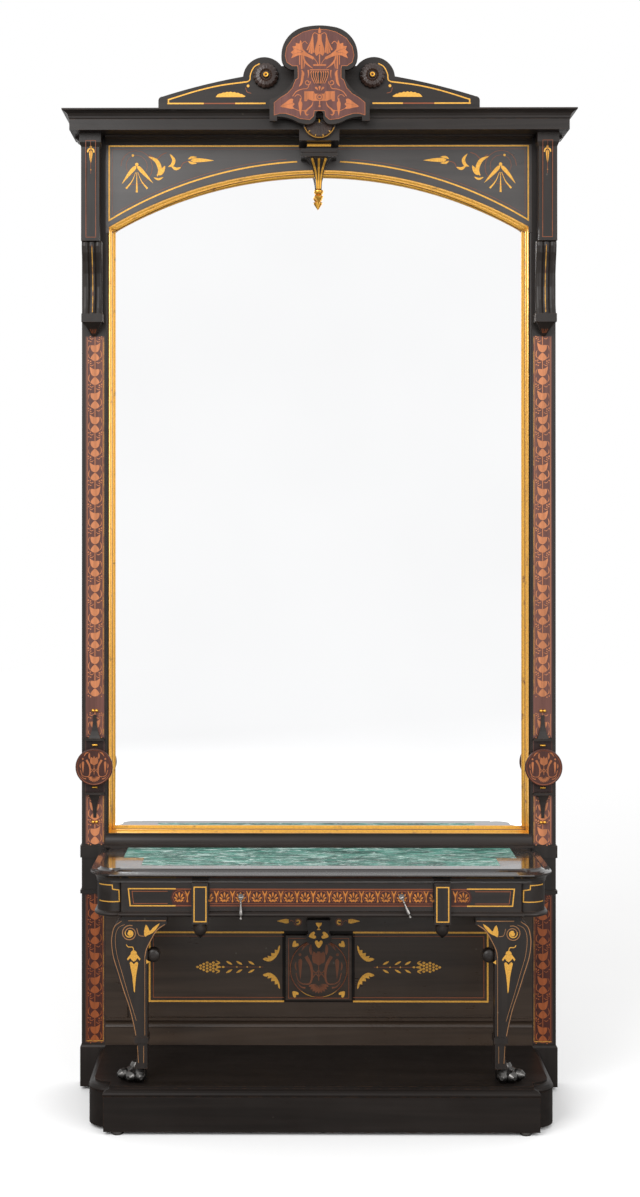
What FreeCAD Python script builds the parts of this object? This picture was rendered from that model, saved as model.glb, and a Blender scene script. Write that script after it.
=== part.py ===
import FreeCAD, Part
import math
import os

from FreeCAD import Vector

# Ebonised pier mirror with marquetry, gilt lines and a console with one drawer.
# Millimetres: X to the viewer's right, Y to the wall, Z up, origin on the floor
# under the middle. A depth is measured forward from the face of the pilasters.
# Pieces that come in pairs are drawn on the right and mirrored to the left.

# Frame
FRAME_DEPTH = 70.0
BASE_REACH = 392.0
PILASTER_OUTER = 686.0
PILASTER_WIDTH = 69.0
STILE_WIDTH = 9.0
STILE_DROP = 3.0
CORNICE_FOOT = 2757.0
PLATE_THICKNESS = 8.0
BACKBOARD_THICKNESS = 22.0
REACH = 2.0

# Arched opening of the mirror, and the gilt slip round it
HEAD_MARGIN = 111.5
HEAD_LAP = 8.0
ARCH_RISE = 157.5
SLIP_WIDTH = 16.0
SLIP_DROP = 3.0
SLIP_SHARES = ((0, -0.1), (0, 0.12), (0.2, 0.2), (0.5, 0.42), (0.6, 0.6), (0.85, 0.78), (1, 1.1))

# Sill rail, with its cove over the back of the table
SILL_FOOT = 696.0
SILL_COVE_REACH = 35.0
SILL_COVE_LIP = 5.0

# Marquetry strips let into the pilasters
STRIP_WIDTH = 54.0
STRIP_SET_IN = 38.0
STRIP_THICKNESS = 2.0
STRIP_FOOT_GAP = 7.5
STRIP_END_GAP = 4.0

# Shoulder blocks and the bead below them
SHOULDER_HEIGHT = 35.0
SHOULDER_PROUD = 4.0
BEAD_FOOT = 566.0
BEAD_TOP = 576.0

# Plinth blocks and glides
GLIDE_HEIGHT = 9.0
GLIDE_WIDTH = 32.0
GLIDE_CENTRE = 548.0
GLIDE_BACK_CENTRE = 652.0
GLIDE_SET_BACK = 14.0
PLINTH_TOP = 127.5
PLINTH_PROUD = 6.0
PLINTH_CHAMFER = 5.0

# Upper piers with their caps
PIER_WIDTH = 52.0
PIER_SET_IN = 4.0
PIER_REACH = 60.0
PIER_HEIGHT = 309.0
CAP_PROUD = 5.0
CAP_HEIGHT = 27.0
CAP_CHAMFER = 13.0

# Fluted scroll brackets, their blocks and drops
SCROLL_WIDTH = 57.0
SCROLL_SET_IN = 1.0
SCROLL_HEIGHT = 208.0
SCROLL_REED = 5.0
SCROLL_REEDS = 3
SCROLL_SHARES = (
    (0, 0.70), (0.08, 0.60), (0.20, 0.50), (0.38, 0.47), (0.56, 0.55),
    (0.72, 0.69), (0.84, 0.84), (0.93, 0.90), (0.98, 0.88), (1, 0.82),
)
BLOCK_WIDTH = 61.0
BLOCK_HEIGHT = 24.0
BLOCK_REACH = 52.0
DROP_HEIGHT = 37.0
DROP_MARGIN = 5.0
DROP_TIP = 5.0

# Roundels, their bosses, ledges, spikes and gilt beads
ROUNDEL_RISE = 229.0
ROUNDEL_RADIUS = 54.0
ROUNDEL_THICKNESS = 13.0
ROUNDEL_ROLL = 4.0
ROUNDEL_FACE_DROP = 1.5
BOSS_RADIUS = 34.0
BOSS_REACH = 12.0
LEDGE_OFFSET = 75.0
LEDGE_HEIGHT = 6.5
LEDGE_REACH = 15.0
SPIKE_HEIGHT = 67.0
SPIKE_HALF = 17.0
SPIKE_REACH = 12.0
SPIKE_SHARES = ((0, 1), (0.12, 0.80), (0.3, 0.56), (0.55, 0.38), (0.8, 0.29), (1, 0.25))
BEAD_RADIUS = 4.8
BEAD_SPACING = 10.0
BEAD_OFFSET = 161.0
BAR_OFFSET = 61.0
BAR_WIDTH = 15.0
BAR_HEIGHT = 6.0
BAR_REACH = 5.0

# Cornice
FASCIA_OUT = 25.0
FASCIA_REACH = 102.0
FASCIA_HEIGHT = 30.0
CROWN_OUT = 20.0
CROWN_HEIGHT = 28.0
CROWN_SHARES = (
    (0, 0), (0.10, 0.12), (0.14, 0.30), (0.30, 0.55), (0.62, 0.72),
    (0.86, 0.80), (0.9, 0.82), (1, 0.86), (1, 1),
)
TOP_BOARD_HEIGHT = 6.0
TOP_BOARD_INSET = 24.0
BED_HEIGHT = 22.0
BED_REACH = 30.0
BED_SIDE_SHARE = 0.8
BED_SHARES = ((0.12, 0), (0.30, 0.30), (0.62, 0.62), (0.80, 0.70), (1, 0.84), (1, 1))

# Pediment and its carved rosettes
PEDIMENT_BACK = 40.0
PEDIMENT_FRONT = 64.0
PEDIMENT_INNER = 60.0
PEDIMENT_TIP = 460.0
PEDIMENT_TIP_HEIGHT = 39.0
PEDIMENT_TIP_ROUND = 12.0
PEDIMENT_RISE = 96.0
PEDIMENT_BOW = 4.0
PEDIMENT_SADDLE = 126.0
EAR_RADIUS = 60.5
EAR_X = 157.0
EAR_RISE = 91.0
ROSETTE_X = 152.0
ROSETTE_RISE = 97.0
ROSETTE_RADIUS = 37.5
ROSETTE_REACH = 20.0
ROSETTE_BUTTON = 10.5
ROSETTE_LOBES = 16
PETAL_VALLEY_SHARE = 0.93
PETAL_SHARES = ((0.98, 0), (0.98, 0.30), (0.93, 0.58), (0.76, 0.80), (0.50, 0.86), (0.34, 0.64))

# Crest
CREST_REACH = 20.0
CREST_NECK_HALF = 71.5
CREST_NECK_HEIGHT = 25.5
CREST_FOOT_HALF = 141.0
CREST_SHOULDER_RISE = 12.0
CREST_DROP = 48.0
CREST_FOOT_WIDTH = 21.0
CREST_LIP = 12.0
CREST_WAVE_HALF = 33.0
CREST_WAVE_MIDDLE = 74.0
CREST_WAVE_DROP = 9.5
CREST_NOTCH_HALF = 11.5
CREST_NOTCH_RISE = 18.0
CREST_NOTCH_ARCH = 10.0
LOBE_HEIGHT = 125.0
LOBE_FOOT_HALF = 80.0
LOBE_HALF = 107.5
LOBE_WIDE_SHARE = 0.344
CORE_DROP = 12.0

# Keystone group
KEY_HALF = 57.0
KEY_HEIGHT = 31.0
KEY_BAR_HALF = 35.0
KEY_BAR_REACH = 66.0
KEY_BAR_DROP = 11.0
SHELF_HALF = 51.0
SHELF_DROP = 17.0
SHELF_THICKNESS = 22.0
SHELF_REACH = 72.0
SHELF_GROOVE = 3.0
SHELF_LIP = 9.0
RIB_TOP_HALF = 37.0
RIB_FOOT_HALF = 8.5
RIB_HEIGHT = 86.0
RIB_TOP_REACH = 62.0
RIB_FOOT_REACH = 20.0
RIB_SHARES = ((0, 1), (0.12, 0.62), (0.28, 0.34), (0.48, 0.14), (0.7, 0.04), (1, 0))
SHELL_RADIUS = 47.0
SHELL_RISE = 19.0
SHELL_REACH = 14.0
SHELL_RIM = 4.0
SHELL_HUB = 9.0
SHELL_FLUTES = 9
ARROW_RADIUS = 14.0
ARROW_DEPTH = 14.0
ARROW_HEIGHT = 41.0
ARROW_SHARES = (
    (0.72, 0), (0.97, 0.07), (1, 0.15), (0.90, 0.26), (0.50, 0.45), (0.46, 0.49), (0.98, 0.45), (0.86, 0.58),
)

# Table top
TABLE_TOP = 705.0
TABLE_THICKNESS = 36.0
TABLE_BLOCK = 544.0
TABLE_FRONT = 342.0
TABLE_ROUND = 37.0
TABLE_NOSE = 28.0
TABLE_SHARES = (
    (0.40, 0), (0.41, 0.14), (0.55, 0.34), (0.75, 0.48), (0.95, 0.56), (1, 0.60),
    (1, 0.69), (0.66, 0.74), (0.33, 0.80), (0.08, 0.90), (0, 1),
)
ROUND_X = 563.0
ROUND_DEPTH = 300.0

# Marble slab let into the table top
MARBLE_THICKNESS = 18.0
MARBLE_BACK = 38.0
MARBLE_FRONT = 300.0
MARBLE_STEP = 190.0
MARBLE_HALF = 548.0
MARBLE_NOTCH = 58.0

# Apron and the rail under the drawer
APRON_BLOCK = 540.0
APRON_FRONT = 350.0
APRON_ROUND = 46.0
APRON_WALL = 22.0
RAIL_TOP = 590.0
RAIL_FOOT = 577.0
RAIL_WIDTH = 75.0
RAIL_NOSE = 8.0
RAIL_SHARES = ((0.45, 0), (0.85, 0.18), (1, 0.42), (0.9, 0.66), (0.5, 0.84), (0.1, 1))
STILE_BLOCK_INNER = 304.5
STILE_BLOCK_OUTER = 349.0
STILE_BLOCK_FOOT = 559.0
STILE_BLOCK_PROUD = 13.0
PENDANT_HEIGHT = 42.0
PENDANT_RADIUS = 18.5

# Drawer with its runners
DRAWER_GAP = 1.5
DRAWER_THICKNESS = 22.0
TRAY_SIDE_GAP = 2.0
TRAY_HALF = 285.0
TRAY_LENGTH = 270.0
TRAY_HEIGHT = 60.0
TRAY_WALL = 12.0
TRAY_FLOOR = 8.0
TRAY_GAP = 0.5
RUNNER_LEDGE = 24.0
RUNNER_TOP = 650.0

# Steel drop pulls
PULL_LEFT_X = -217.0
PULL_RIGHT_X = 217.0
PULL_Z = 631.0
PULL_TILT = 23.0
ROSE_RADIUS = 8.5
ROSE_THICKNESS = 2.5
ROSE_GAP = 0.3
SHANK_RADIUS = 2.0
SHANK_GAP = 0.06
TONGUE_THICKNESS = 3.0
TONGUE_RADIUS = 4.0
PIN_RADIUS = 1.5
PIN_GAP = 0.08
PIN_STANDOFF = 15.0
CHEEK_GAP = 0.3
CHEEK_THICKNESS = 1.6
PULL_LENGTH = 60.0
PULL_RADIUS = 5.5
PULL_NECK = 2.2
PULL_SHARES = (
    (0.10, 0.40), (0.13, 0.60), (0.17, 0.60), (0.20, 0.38), (0.66, 0.96), (0.74, 1), (0.80, 0.72),
    (0.84, 0.34), (0.87, 0.36), (0.90, 0.64), (0.94, 0.72), (0.98, 0.52), (1, 0.16),
)

# Base
BASE_BLOCK = 570.0
BASE_NOSE = 17.0
BASE_FACE = 15.0
BASE_ROUND = 47.0
BASE_ROUND_X = 570.0
BASE_ROUND_DEPTH = 290.0
BASE_BOARD = 28.0
PLATFORM_FOOT = 103.0
PLATFORM_SHARES = (
    (0.88, 0), (1, 0.08), (1, 0.24), (0.85, 0.42), (0.55, 0.58),
    (0.2, 0.66), (0.1, 0.70), (0, 0.74), (0, 1),
)

# Scroll legs with paw feet
LEG_BACK = 282.0
LEG_FRONT = 330.0
LEG_INNER = 471.0
LEG_TIP = 418.5
LEG_TIP_FOOT = 551.0
LEG_CURVE_FOOT = 482.0
LEG_SHOULDER = 531.0
LEG_KNEE = 572.0
LEG_KNEE_Z = 500.0
LEG_CALF = 545.0
LEG_CALF_Z = 391.0
LEG_ANKLE = 503.5
COLLAR_TOP = 246.0
COLLAR_FOOT = 229.0
COLLAR_PROUD = 3.0
LEG_FOOT = 160.0
LEG_FOOT_OUTER = 508.0
LEG_SHANK_OUTER = 498.0
LEG_BOSS_X = 456.5
LEG_BOSS_DROP = 0.5
LEG_BOSS_RADIUS = 18.5
LEG_BOSS_TUCK = 8.0
PAW_X = 500.0
PAW_DEPTH = 303.0
PAW_RADIUS = 24.0
PAW_HEIGHT = 46.0
TOE_LENGTH = 62.0
TOE_RADIUS = 19.5
TOE_SINK = 3.0
TOE_ANGLES = (-14.0, 20.0, 60.0)
TOE_SHARES = (
    (0, 0.62), (0.16, 0.90), (0.32, 1), (0.52, 0.78), (0.64, 0.84), (0.80, 0.72), (0.92, 0.40), (0.97, 0.24),
)

# Back panel of the console, with its plaque and trefoil
PANEL_MARGIN = 63.0
PANEL_DEPTH = 10.0
PANEL_FOOT = 207.0
PANEL_TOP = 640.0
PANEL_BEAD = 26.0
PANEL_BEAD_REACH = 8.0
PLAQUE_HALF = 95.0
PLAQUE_FOOT = 259.0
PLAQUE_TOP = 445.5
PLAQUE_THICKNESS = 16.0
PLAQUE_RING = 84.0
PLAQUE_RING_WIDTH = 4.0
PLAQUE_RING_PROUD = 3.0
PLAQUE_RING_Z = 351.0
TREFOIL_Z = 441.0
TREFOIL_LOBE = 18.0
TREFOIL_SPREAD = 19.0
TREFOIL_FOOT = 421.0
TREFOIL_CUP_TOP = 493.0
TREFOIL_CUP_HALF = 33.0
TREFOIL_REACH = 14.0

# Worked out from the sizes above
FACE_Y = (BASE_REACH - FRAME_DEPTH) / 2
PILASTER_INNER = PILASTER_OUTER - PILASTER_WIDTH
PLATE_FRONT = BACKBOARD_THICKNESS + PLATE_THICKNESS - FRAME_DEPTH
SILL_TOP = TABLE_TOP + SILL_COVE_REACH
SIGHT_HALF = PILASTER_INNER - STILE_WIDTH - SLIP_WIDTH
SIGHT_SILL = SILL_TOP + SLIP_WIDTH
SIGHT_CROWN = CORNICE_FOOT - HEAD_MARGIN
SIGHT_SPRING = SIGHT_CROWN - ARCH_RISE
HEAD_FOOT = SIGHT_SPRING - HEAD_LAP
PIER_OUTER = PILASTER_OUTER - PIER_SET_IN
PIER_INNER = PIER_OUTER - PIER_WIDTH
PIER_FOOT = CORNICE_FOOT - PIER_HEIGHT
SCROLL_OUTER = PIER_OUTER - SCROLL_SET_IN
SCROLL_INNER = SCROLL_OUTER - SCROLL_WIDTH
SCROLL_FOOT = PIER_FOOT - SCROLL_HEIGHT
BLOCK_INNER = PIER_OUTER - BLOCK_WIDTH
BLOCK_FOOT = SCROLL_FOOT - BLOCK_HEIGHT
STRIP_CENTRE = PILASTER_OUTER - STRIP_SET_IN
STRIP_SPANS = (
    (PLINTH_TOP + STRIP_FOOT_GAP, BEAD_FOOT - STRIP_END_GAP),
    (TABLE_TOP + STRIP_END_GAP, BLOCK_FOOT - DROP_HEIGHT),
)
SHOULDER_FOOT = TABLE_TOP - SHOULDER_HEIGHT
ROUNDEL_Z = TABLE_TOP + ROUNDEL_RISE
FASCIA_HALF = PILASTER_OUTER + FASCIA_OUT
FASCIA_TOP = CORNICE_FOOT + FASCIA_HEIGHT
CORNICE_TOP = FASCIA_TOP + CROWN_HEIGHT
PEDIMENT_FOOT = CORNICE_TOP + TOP_BOARD_HEIGHT
CREST_BACK = FASCIA_REACH + CROWN_OUT
CREST_NECK_TOP = PEDIMENT_FOOT + PEDIMENT_RISE
CREST_NECK_FOOT = CREST_NECK_TOP - CREST_NECK_HEIGHT
CREST_SHOULDER = PEDIMENT_FOOT + CREST_SHOULDER_RISE
CREST_FOOT = PEDIMENT_FOOT - CREST_DROP
CREST_WAVE_FOOT = CREST_FOOT - CREST_WAVE_DROP
CREST_NOTCH_FOOT = CREST_FOOT + CREST_NOTCH_RISE
ROSETTE_Z = PEDIMENT_FOOT + ROSETTE_RISE
KEY_FOOT = CORNICE_FOOT - KEY_HEIGHT
SHELF_TOP = KEY_FOOT - SHELF_DROP
SHELF_FOOT = SHELF_TOP - SHELF_THICKNESS
RIB_FOOT = SHELF_FOOT - RIB_HEIGHT
SHELL_Z = CORNICE_FOOT + SHELL_RISE
LEG_BOSS_Z = LEG_CURVE_FOOT - LEG_BOSS_DROP - LEG_BOSS_RADIUS
TABLE_FOOT = TABLE_TOP - TABLE_THICKNESS
BASE_FRONT = BASE_REACH - BASE_NOSE
DRAWER_BACK = APRON_FRONT - DRAWER_THICKNESS
TRAY_FOOT = RAIL_TOP + DRAWER_GAP + DRAWER_GAP


def at(depth):
    return FACE_Y - depth


def upright(depth):
    return lambda p: Vector(p[0], at(depth), p[1])


def level(z):
    return lambda p: Vector(p[0], at(p[1]), z)


def section(x):
    return lambda p: Vector(x, at(p[0]), p[1])


def path(place, start, *legs):
    # A leg of one point is a straight line, and one of two points is an arc
    # through the first of them to the second.
    edges = []
    here = place(start)
    for leg in legs:
        there = place(leg[-1])
        if len(leg) == 1:
            edges.append(Part.makeLine(here, there))
        else:
            edges.append(Part.Arc(here, place(leg[0]), there).toShape())
        here = there
    return Part.Wire(edges)


def polygon(place, points):
    legs = [(point,) for point in points[1:]]
    return path(place, points[0], *legs, (points[0],))


def box(x0, x1, back, front, foot, top):
    return Part.makeBox(x1 - x0, front - back, top - foot, Vector(x0, at(front), foot))


def board(wire, back, front):
    # An upright outline drawn at the back depth, extruded forward.
    return Part.Face(wire).extrude(Vector(0, back - front, 0))


def length_of(wire, x0, x1):
    # A section drawn at x0, run along X.
    return Part.Face(wire).extrude(Vector(x1 - x0, 0, 0))


def loft(wires):
    return Part.makeLoft(wires, True, True)


def moulding(plan, shares, out, foot, height):
    return loft([plan(out * a, foot + height * b) for a, b in shares])


def straight(plan, out, foot, top):
    return loft([plan(out, foot), plan(out, top)])


def turned(place, centre, axis, start, *legs):
    return Part.Face(path(place, start, *legs)).revolve(centre, axis, 360)


def turned_out(x, z, start, *legs):
    # A round piece about an axis along Y, drawn as radius and depth.
    return turned(lambda p: Vector(x + p[0], at(p[1]), z), Vector(x, 0, z), Vector(0, 1, 0), start, *legs)


def turned_up(x, depth, start, *legs):
    # A round piece about an upright axis, drawn as radius and height.
    centre = Vector(x, at(depth), 0)
    return turned(lambda p: centre + Vector(p[0], 0, p[1]), centre, Vector(0, 0, 1), start, *legs)


def mirrored(shape):
    return shape.mirror(Vector(0, 0, 0), Vector(1, 0, 0))


def both(shape):
    return Part.makeCompound([mirrored(shape), shape])


def fused(shapes):
    return shapes[0].multiFuse(shapes[1:]).removeSplitter()


def side_plan(inner, outer, back, front):
    # Outline of a pier that grows outward and forward, with its inner side fixed.
    def plan(out, z):
        reach = front + out
        return polygon(level(z), [(inner, back), (inner, reach), (outer + out, reach), (outer + out, back)])
    return plan


def pier_plan(inner, outer, back, front):
    # Outline of a pier that grows on three sides, with its back fixed.
    def plan(out, z):
        near = inner - out
        far = outer + out
        return polygon(level(z), [(near, back), (near, front + out), (far, front + out), (far, back)])
    return plan


def console_plan(block, front, centre, depth, radius):
    # Outline of a board with a breakfront middle and a round turret at each
    # front corner, grown by out on every side but the back.
    def plan(out, z):
        edge = block + out
        r = radius + out
        along = math.acos((edge - centre) / r)
        meet = depth + r * math.sin(along)
        mid = (centre + r * math.cos(along / 2), depth + r * math.sin(along / 2))
        side = centre + r
        return path(
            level(z),
            (-side, 0),
            ((-side, depth),),
            ((-mid[0], mid[1]), (-edge, meet)),
            ((-edge, front + out),),
            ((edge, front + out),),
            ((edge, meet),),
            (mid, (side, depth)),
            ((side, 0),),
            ((-side, 0),),
        )
    return plan


TABLE_PLAN = console_plan(TABLE_BLOCK, TABLE_FRONT, ROUND_X, ROUND_DEPTH, TABLE_ROUND)
APRON_PLAN = console_plan(APRON_BLOCK, APRON_FRONT, ROUND_X, ROUND_DEPTH, APRON_ROUND)
BASE_PLAN = console_plan(BASE_BLOCK, BASE_FRONT, BASE_ROUND_X, BASE_ROUND_DEPTH, BASE_ROUND)


def opening(out, depth):
    # Outline of the arched opening, grown by out all round.
    half = SIGHT_HALF + out
    radius = (SIGHT_HALF ** 2 + ARCH_RISE ** 2) / (2 * ARCH_RISE) + out
    crown = SIGHT_CROWN + out
    spring = crown - radius + math.sqrt(radius ** 2 - half ** 2)
    foot = SIGHT_SILL - out
    return path(
        upright(depth),
        (-half, foot),
        ((-half, spring),),
        ((0, crown), (half, spring)),
        ((half, foot),),
        ((-half, foot),),
    )


def strips():
    inner = STRIP_CENTRE - STRIP_WIDTH / 2
    outer = STRIP_CENTRE + STRIP_WIDTH / 2
    return Part.makeCompound([box(inner, outer, -STRIP_THICKNESS, 0, foot, top) for foot, top in STRIP_SPANS])


def pilaster():
    post = box(PILASTER_INNER, PILASTER_OUTER, -FRAME_DEPTH, 0, PLINTH_TOP, CORNICE_FOOT)
    inner = PILASTER_INNER - STILE_WIDTH
    turn = STILE_WIDTH * math.sqrt(0.5)
    roll = path(
        level(SILL_TOP),
        (inner, PLATE_FRONT),
        ((inner, -STILE_DROP - STILE_WIDTH),),
        ((PILASTER_INNER - turn, turn - STILE_DROP - STILE_WIDTH), (PILASTER_INNER, -STILE_DROP)),
        ((PILASTER_INNER, PLATE_FRONT),),
        ((inner, PLATE_FRONT),),
    )
    stile = Part.Face(roll).extrude(Vector(0, 0, HEAD_FOOT - SILL_TOP))
    return fused([post.cut(strips()), stile])


def wrapped_band(foot, top, proud):
    # A band round the front and the outer side of a pilaster.
    outer = box(PILASTER_INNER, PILASTER_OUTER + proud, -FRAME_DEPTH, proud, foot, top)
    return outer.cut(box(PILASTER_INNER, PILASTER_OUTER, -FRAME_DEPTH, 0, foot, top))


def shoulder_block():
    return Part.makeCompound([
        wrapped_band(SHOULDER_FOOT, TABLE_TOP, SHOULDER_PROUD),
        wrapped_band(BEAD_FOOT, BEAD_TOP, SHOULDER_PROUD),
    ])


def plinth_block():
    plan = side_plan(PILASTER_INNER, PILASTER_OUTER + SHOULDER_PROUD, -FRAME_DEPTH, PLINTH_PROUD)
    chamfer = PLINTH_TOP - PLINTH_CHAMFER
    return loft([plan(0, GLIDE_HEIGHT), plan(0, chamfer), plan(-SHOULDER_PROUD, PLINTH_TOP)])


def upper_pier():
    plan = pier_plan(PIER_INNER, PIER_OUTER, 0, PIER_REACH)
    cap = CORNICE_FOOT - CAP_HEIGHT
    shaft = [plan(0, PIER_FOOT), plan(0, cap - CAP_CHAMFER)]
    return loft(shaft + [plan(CAP_PROUD, cap), plan(CAP_PROUD, CORNICE_FOOT)])


def scroll_bracket():
    # The front is a row of upright reeds, whose depth follows a scroll.
    width = (SCROLL_OUTER - SCROLL_INNER) / SCROLL_REEDS
    wires = []
    for height_share, depth_share in SCROLL_SHARES:
        front = PIER_REACH * depth_share
        legs = [((SCROLL_INNER, front),)]
        for reed in range(SCROLL_REEDS):
            x = SCROLL_INNER + reed * width
            legs.append(((x + width / 2, front + SCROLL_REED), (x + width, front)))
        legs.append(((SCROLL_OUTER, 0),))
        legs.append(((SCROLL_INNER, 0),))
        z = SCROLL_FOOT + (PIER_FOOT - SCROLL_FOOT) * height_share
        wires.append(path(level(z), (SCROLL_INNER, 0), *legs))
    return loft(wires)


def bracket_drop():
    block = box(BLOCK_INNER, PIER_OUTER, 0, BLOCK_REACH, BLOCK_FOOT, SCROLL_FOOT)
    inner = BLOCK_INNER + DROP_MARGIN
    outer = PIER_OUTER - DROP_MARGIN
    middle = (inner + outer) / 2
    top = pier_plan(inner, outer, 0, BLOCK_REACH - DROP_MARGIN)
    tip = pier_plan(middle - DROP_TIP, middle + DROP_TIP, 0, DROP_TIP)
    pyramid = loft([top(0, BLOCK_FOOT), tip(0, BLOCK_FOOT - DROP_HEIGHT)])
    return fused([block, pyramid])


def spike(foot, height):
    # A flared spike on the marquetry strip, from its wide foot to its tip.
    wires = []
    for height_share, width_share in SPIKE_SHARES:
        half = SPIKE_HALF * width_share
        plan = pier_plan(STRIP_CENTRE - half, STRIP_CENTRE + half, 0, SPIKE_REACH * width_share)
        wires.append(plan(0, foot + height * height_share))
    return loft(wires)


def roundel_support():
    inner = STRIP_CENTRE - STRIP_WIDTH / 2
    outer = STRIP_CENTRE + STRIP_WIDTH / 2
    centre = Vector(STRIP_CENTRE, at(BOSS_REACH), ROUNDEL_Z)
    pieces = [Part.makeCylinder(BOSS_RADIUS, BOSS_REACH, centre, Vector(0, 1, 0))]
    for side in (-1, 1):
        near = ROUNDEL_Z + side * LEDGE_OFFSET
        far = near + side * LEDGE_HEIGHT
        ledge = box(inner, outer, 0, LEDGE_REACH, min(near, far), max(near, far))
        pieces.append(ledge.fuse(spike(far, side * SPIKE_HEIGHT)))
    return Part.makeCompound(pieces)


def roundel():
    back = BOSS_REACH
    front = BOSS_REACH + ROUNDEL_THICKNESS
    rim = ROUNDEL_RADIUS - ROUNDEL_ROLL
    middle = front - ROUNDEL_ROLL
    turn = ROUNDEL_ROLL * math.sqrt(0.5)
    return turned_out(
        STRIP_CENTRE, ROUNDEL_Z,
        (0, back),
        ((rim, back),),
        ((ROUNDEL_RADIUS, middle),),
        ((rim + turn, middle + turn), (rim, front)),
        ((rim - ROUNDEL_FACE_DROP, front - ROUNDEL_FACE_DROP),),
        ((0, front - ROUNDEL_FACE_DROP),),
        ((0, back),),
    )


def gilt_beads():
    pieces = []
    start = STRIP_CENTRE - BAR_WIDTH / 2
    half = BAR_HEIGHT / 2
    for side in (-1, 1):
        z = ROUNDEL_Z + side * BAR_OFFSET
        wire = path(section(start), (0, z - half), ((BAR_REACH, z), (0, z + half)), ((0, z - half),))
        pieces.append(length_of(wire, start, start + BAR_WIDTH))
        z = ROUNDEL_Z + side * BEAD_OFFSET
        for way in (-1, 1):
            pieces.append(turned_out(
                STRIP_CENTRE + way * BEAD_SPACING / 2, z,
                (0, 0),
                ((BEAD_RADIUS * 0.8, 0),),
                ((BEAD_RADIUS, BEAD_RADIUS * 0.6), (0, BEAD_RADIUS * 1.6)),
                ((0, 0),),
            ))
    return Part.makeCompound(pieces)


def arched_head():
    face = box(-PILASTER_INNER, PILASTER_INNER, PLATE_FRONT, 0, HEAD_FOOT, CORNICE_FOOT)
    return face.cut(board(opening(SLIP_WIDTH, PLATE_FRONT), PLATE_FRONT, 0))


def sill_rail():
    wire = path(
        section(-PILASTER_INNER),
        (-FRAME_DEPTH, SILL_FOOT),
        ((0, SILL_FOOT),),
        ((0, TABLE_TOP),),
        ((SILL_COVE_REACH, TABLE_TOP),),
        ((SILL_COVE_REACH, TABLE_TOP + SILL_COVE_LIP),),
        ((SILL_COVE_REACH / 3, TABLE_TOP + SILL_COVE_REACH / 3), (SILL_COVE_LIP, SILL_TOP),),
        ((-FRAME_DEPTH, SILL_TOP),),
        ((-FRAME_DEPTH, SILL_FOOT),),
    )
    return length_of(wire, -PILASTER_INNER, PILASTER_INNER)


def slip_ring():
    depth = -SLIP_DROP - PLATE_FRONT
    outer = board(opening(SLIP_WIDTH, PLATE_FRONT), PLATE_FRONT, -SLIP_DROP)
    hollow = loft([opening(SLIP_WIDTH * a, PLATE_FRONT + depth * b) for a, b in SLIP_SHARES])
    return outer.cut(hollow)


def slip_sill():
    far = SIGHT_HALF + SLIP_WIDTH
    foot = SIGHT_SILL - SLIP_WIDTH
    rise = SLIP_WIDTH + REACH
    near = far - rise
    points = [(-far, foot), (far, foot), (near, foot + rise), (-near, foot + rise)]
    wedge = polygon(upright(PLATE_FRONT), points)
    return slip_ring().common(board(wedge, PLATE_FRONT, 0))


def slip_side():
    far = SIGHT_HALF + SLIP_WIDTH
    room = box(0, far, PLATE_FRONT, 0, SIGHT_SILL - SLIP_WIDTH, SIGHT_SPRING)
    return slip_ring().common(room).cut(slip_sill())


def slip_arch():
    far = SIGHT_HALF + SLIP_WIDTH
    return slip_ring().common(box(-far, far, PLATE_FRONT, 0, SIGHT_SPRING, CORNICE_FOOT))


def between_pilasters(back, front):
    return box(-PILASTER_INNER, PILASTER_INNER, back, front, SILL_TOP, CORNICE_FOOT)


def mirror_plate():
    return between_pilasters(PLATE_FRONT - PLATE_THICKNESS, PLATE_FRONT)


def backboards():
    return between_pilasters(-FRAME_DEPTH, BACKBOARD_THICKNESS - FRAME_DEPTH)


def cornice_plan(out, z):
    return pier_plan(-FASCIA_HALF, FASCIA_HALF, -FRAME_DEPTH, FASCIA_REACH)(out, z)


def cornice_fascia():
    return straight(cornice_plan, 0, CORNICE_FOOT, FASCIA_TOP)


def cornice_crown():
    crown = moulding(cornice_plan, CROWN_SHARES, CROWN_OUT, FASCIA_TOP, CROWN_HEIGHT)
    half = FASCIA_HALF - TOP_BOARD_INSET
    front = FASCIA_REACH - TOP_BOARD_INSET
    return crown.fuse(box(-half, half, -FRAME_DEPTH, front, CORNICE_TOP, PEDIMENT_FOOT))


def bed_profile(place, start, out):
    # Section of the moulding under the cornice, which reaches out from a face.
    foot = CORNICE_FOOT - BED_HEIGHT
    points = [(start + out * a, foot + BED_HEIGHT * b) for a, b in BED_SHARES]
    return polygon(place, [(start, foot)] + points + [(start, CORNICE_FOOT)])


def bed_mould():
    front = bed_profile(section(-PILASTER_INNER), 0, BED_REACH)
    middle = length_of(front, -PILASTER_INNER, PILASTER_INNER).cut(keystone())
    side = bed_profile(upright(-FRAME_DEPTH), PILASTER_OUTER, FASCIA_OUT * BED_SIDE_SHARE)
    return Part.makeCompound([middle, both(board(side, -FRAME_DEPTH, 0))])


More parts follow.
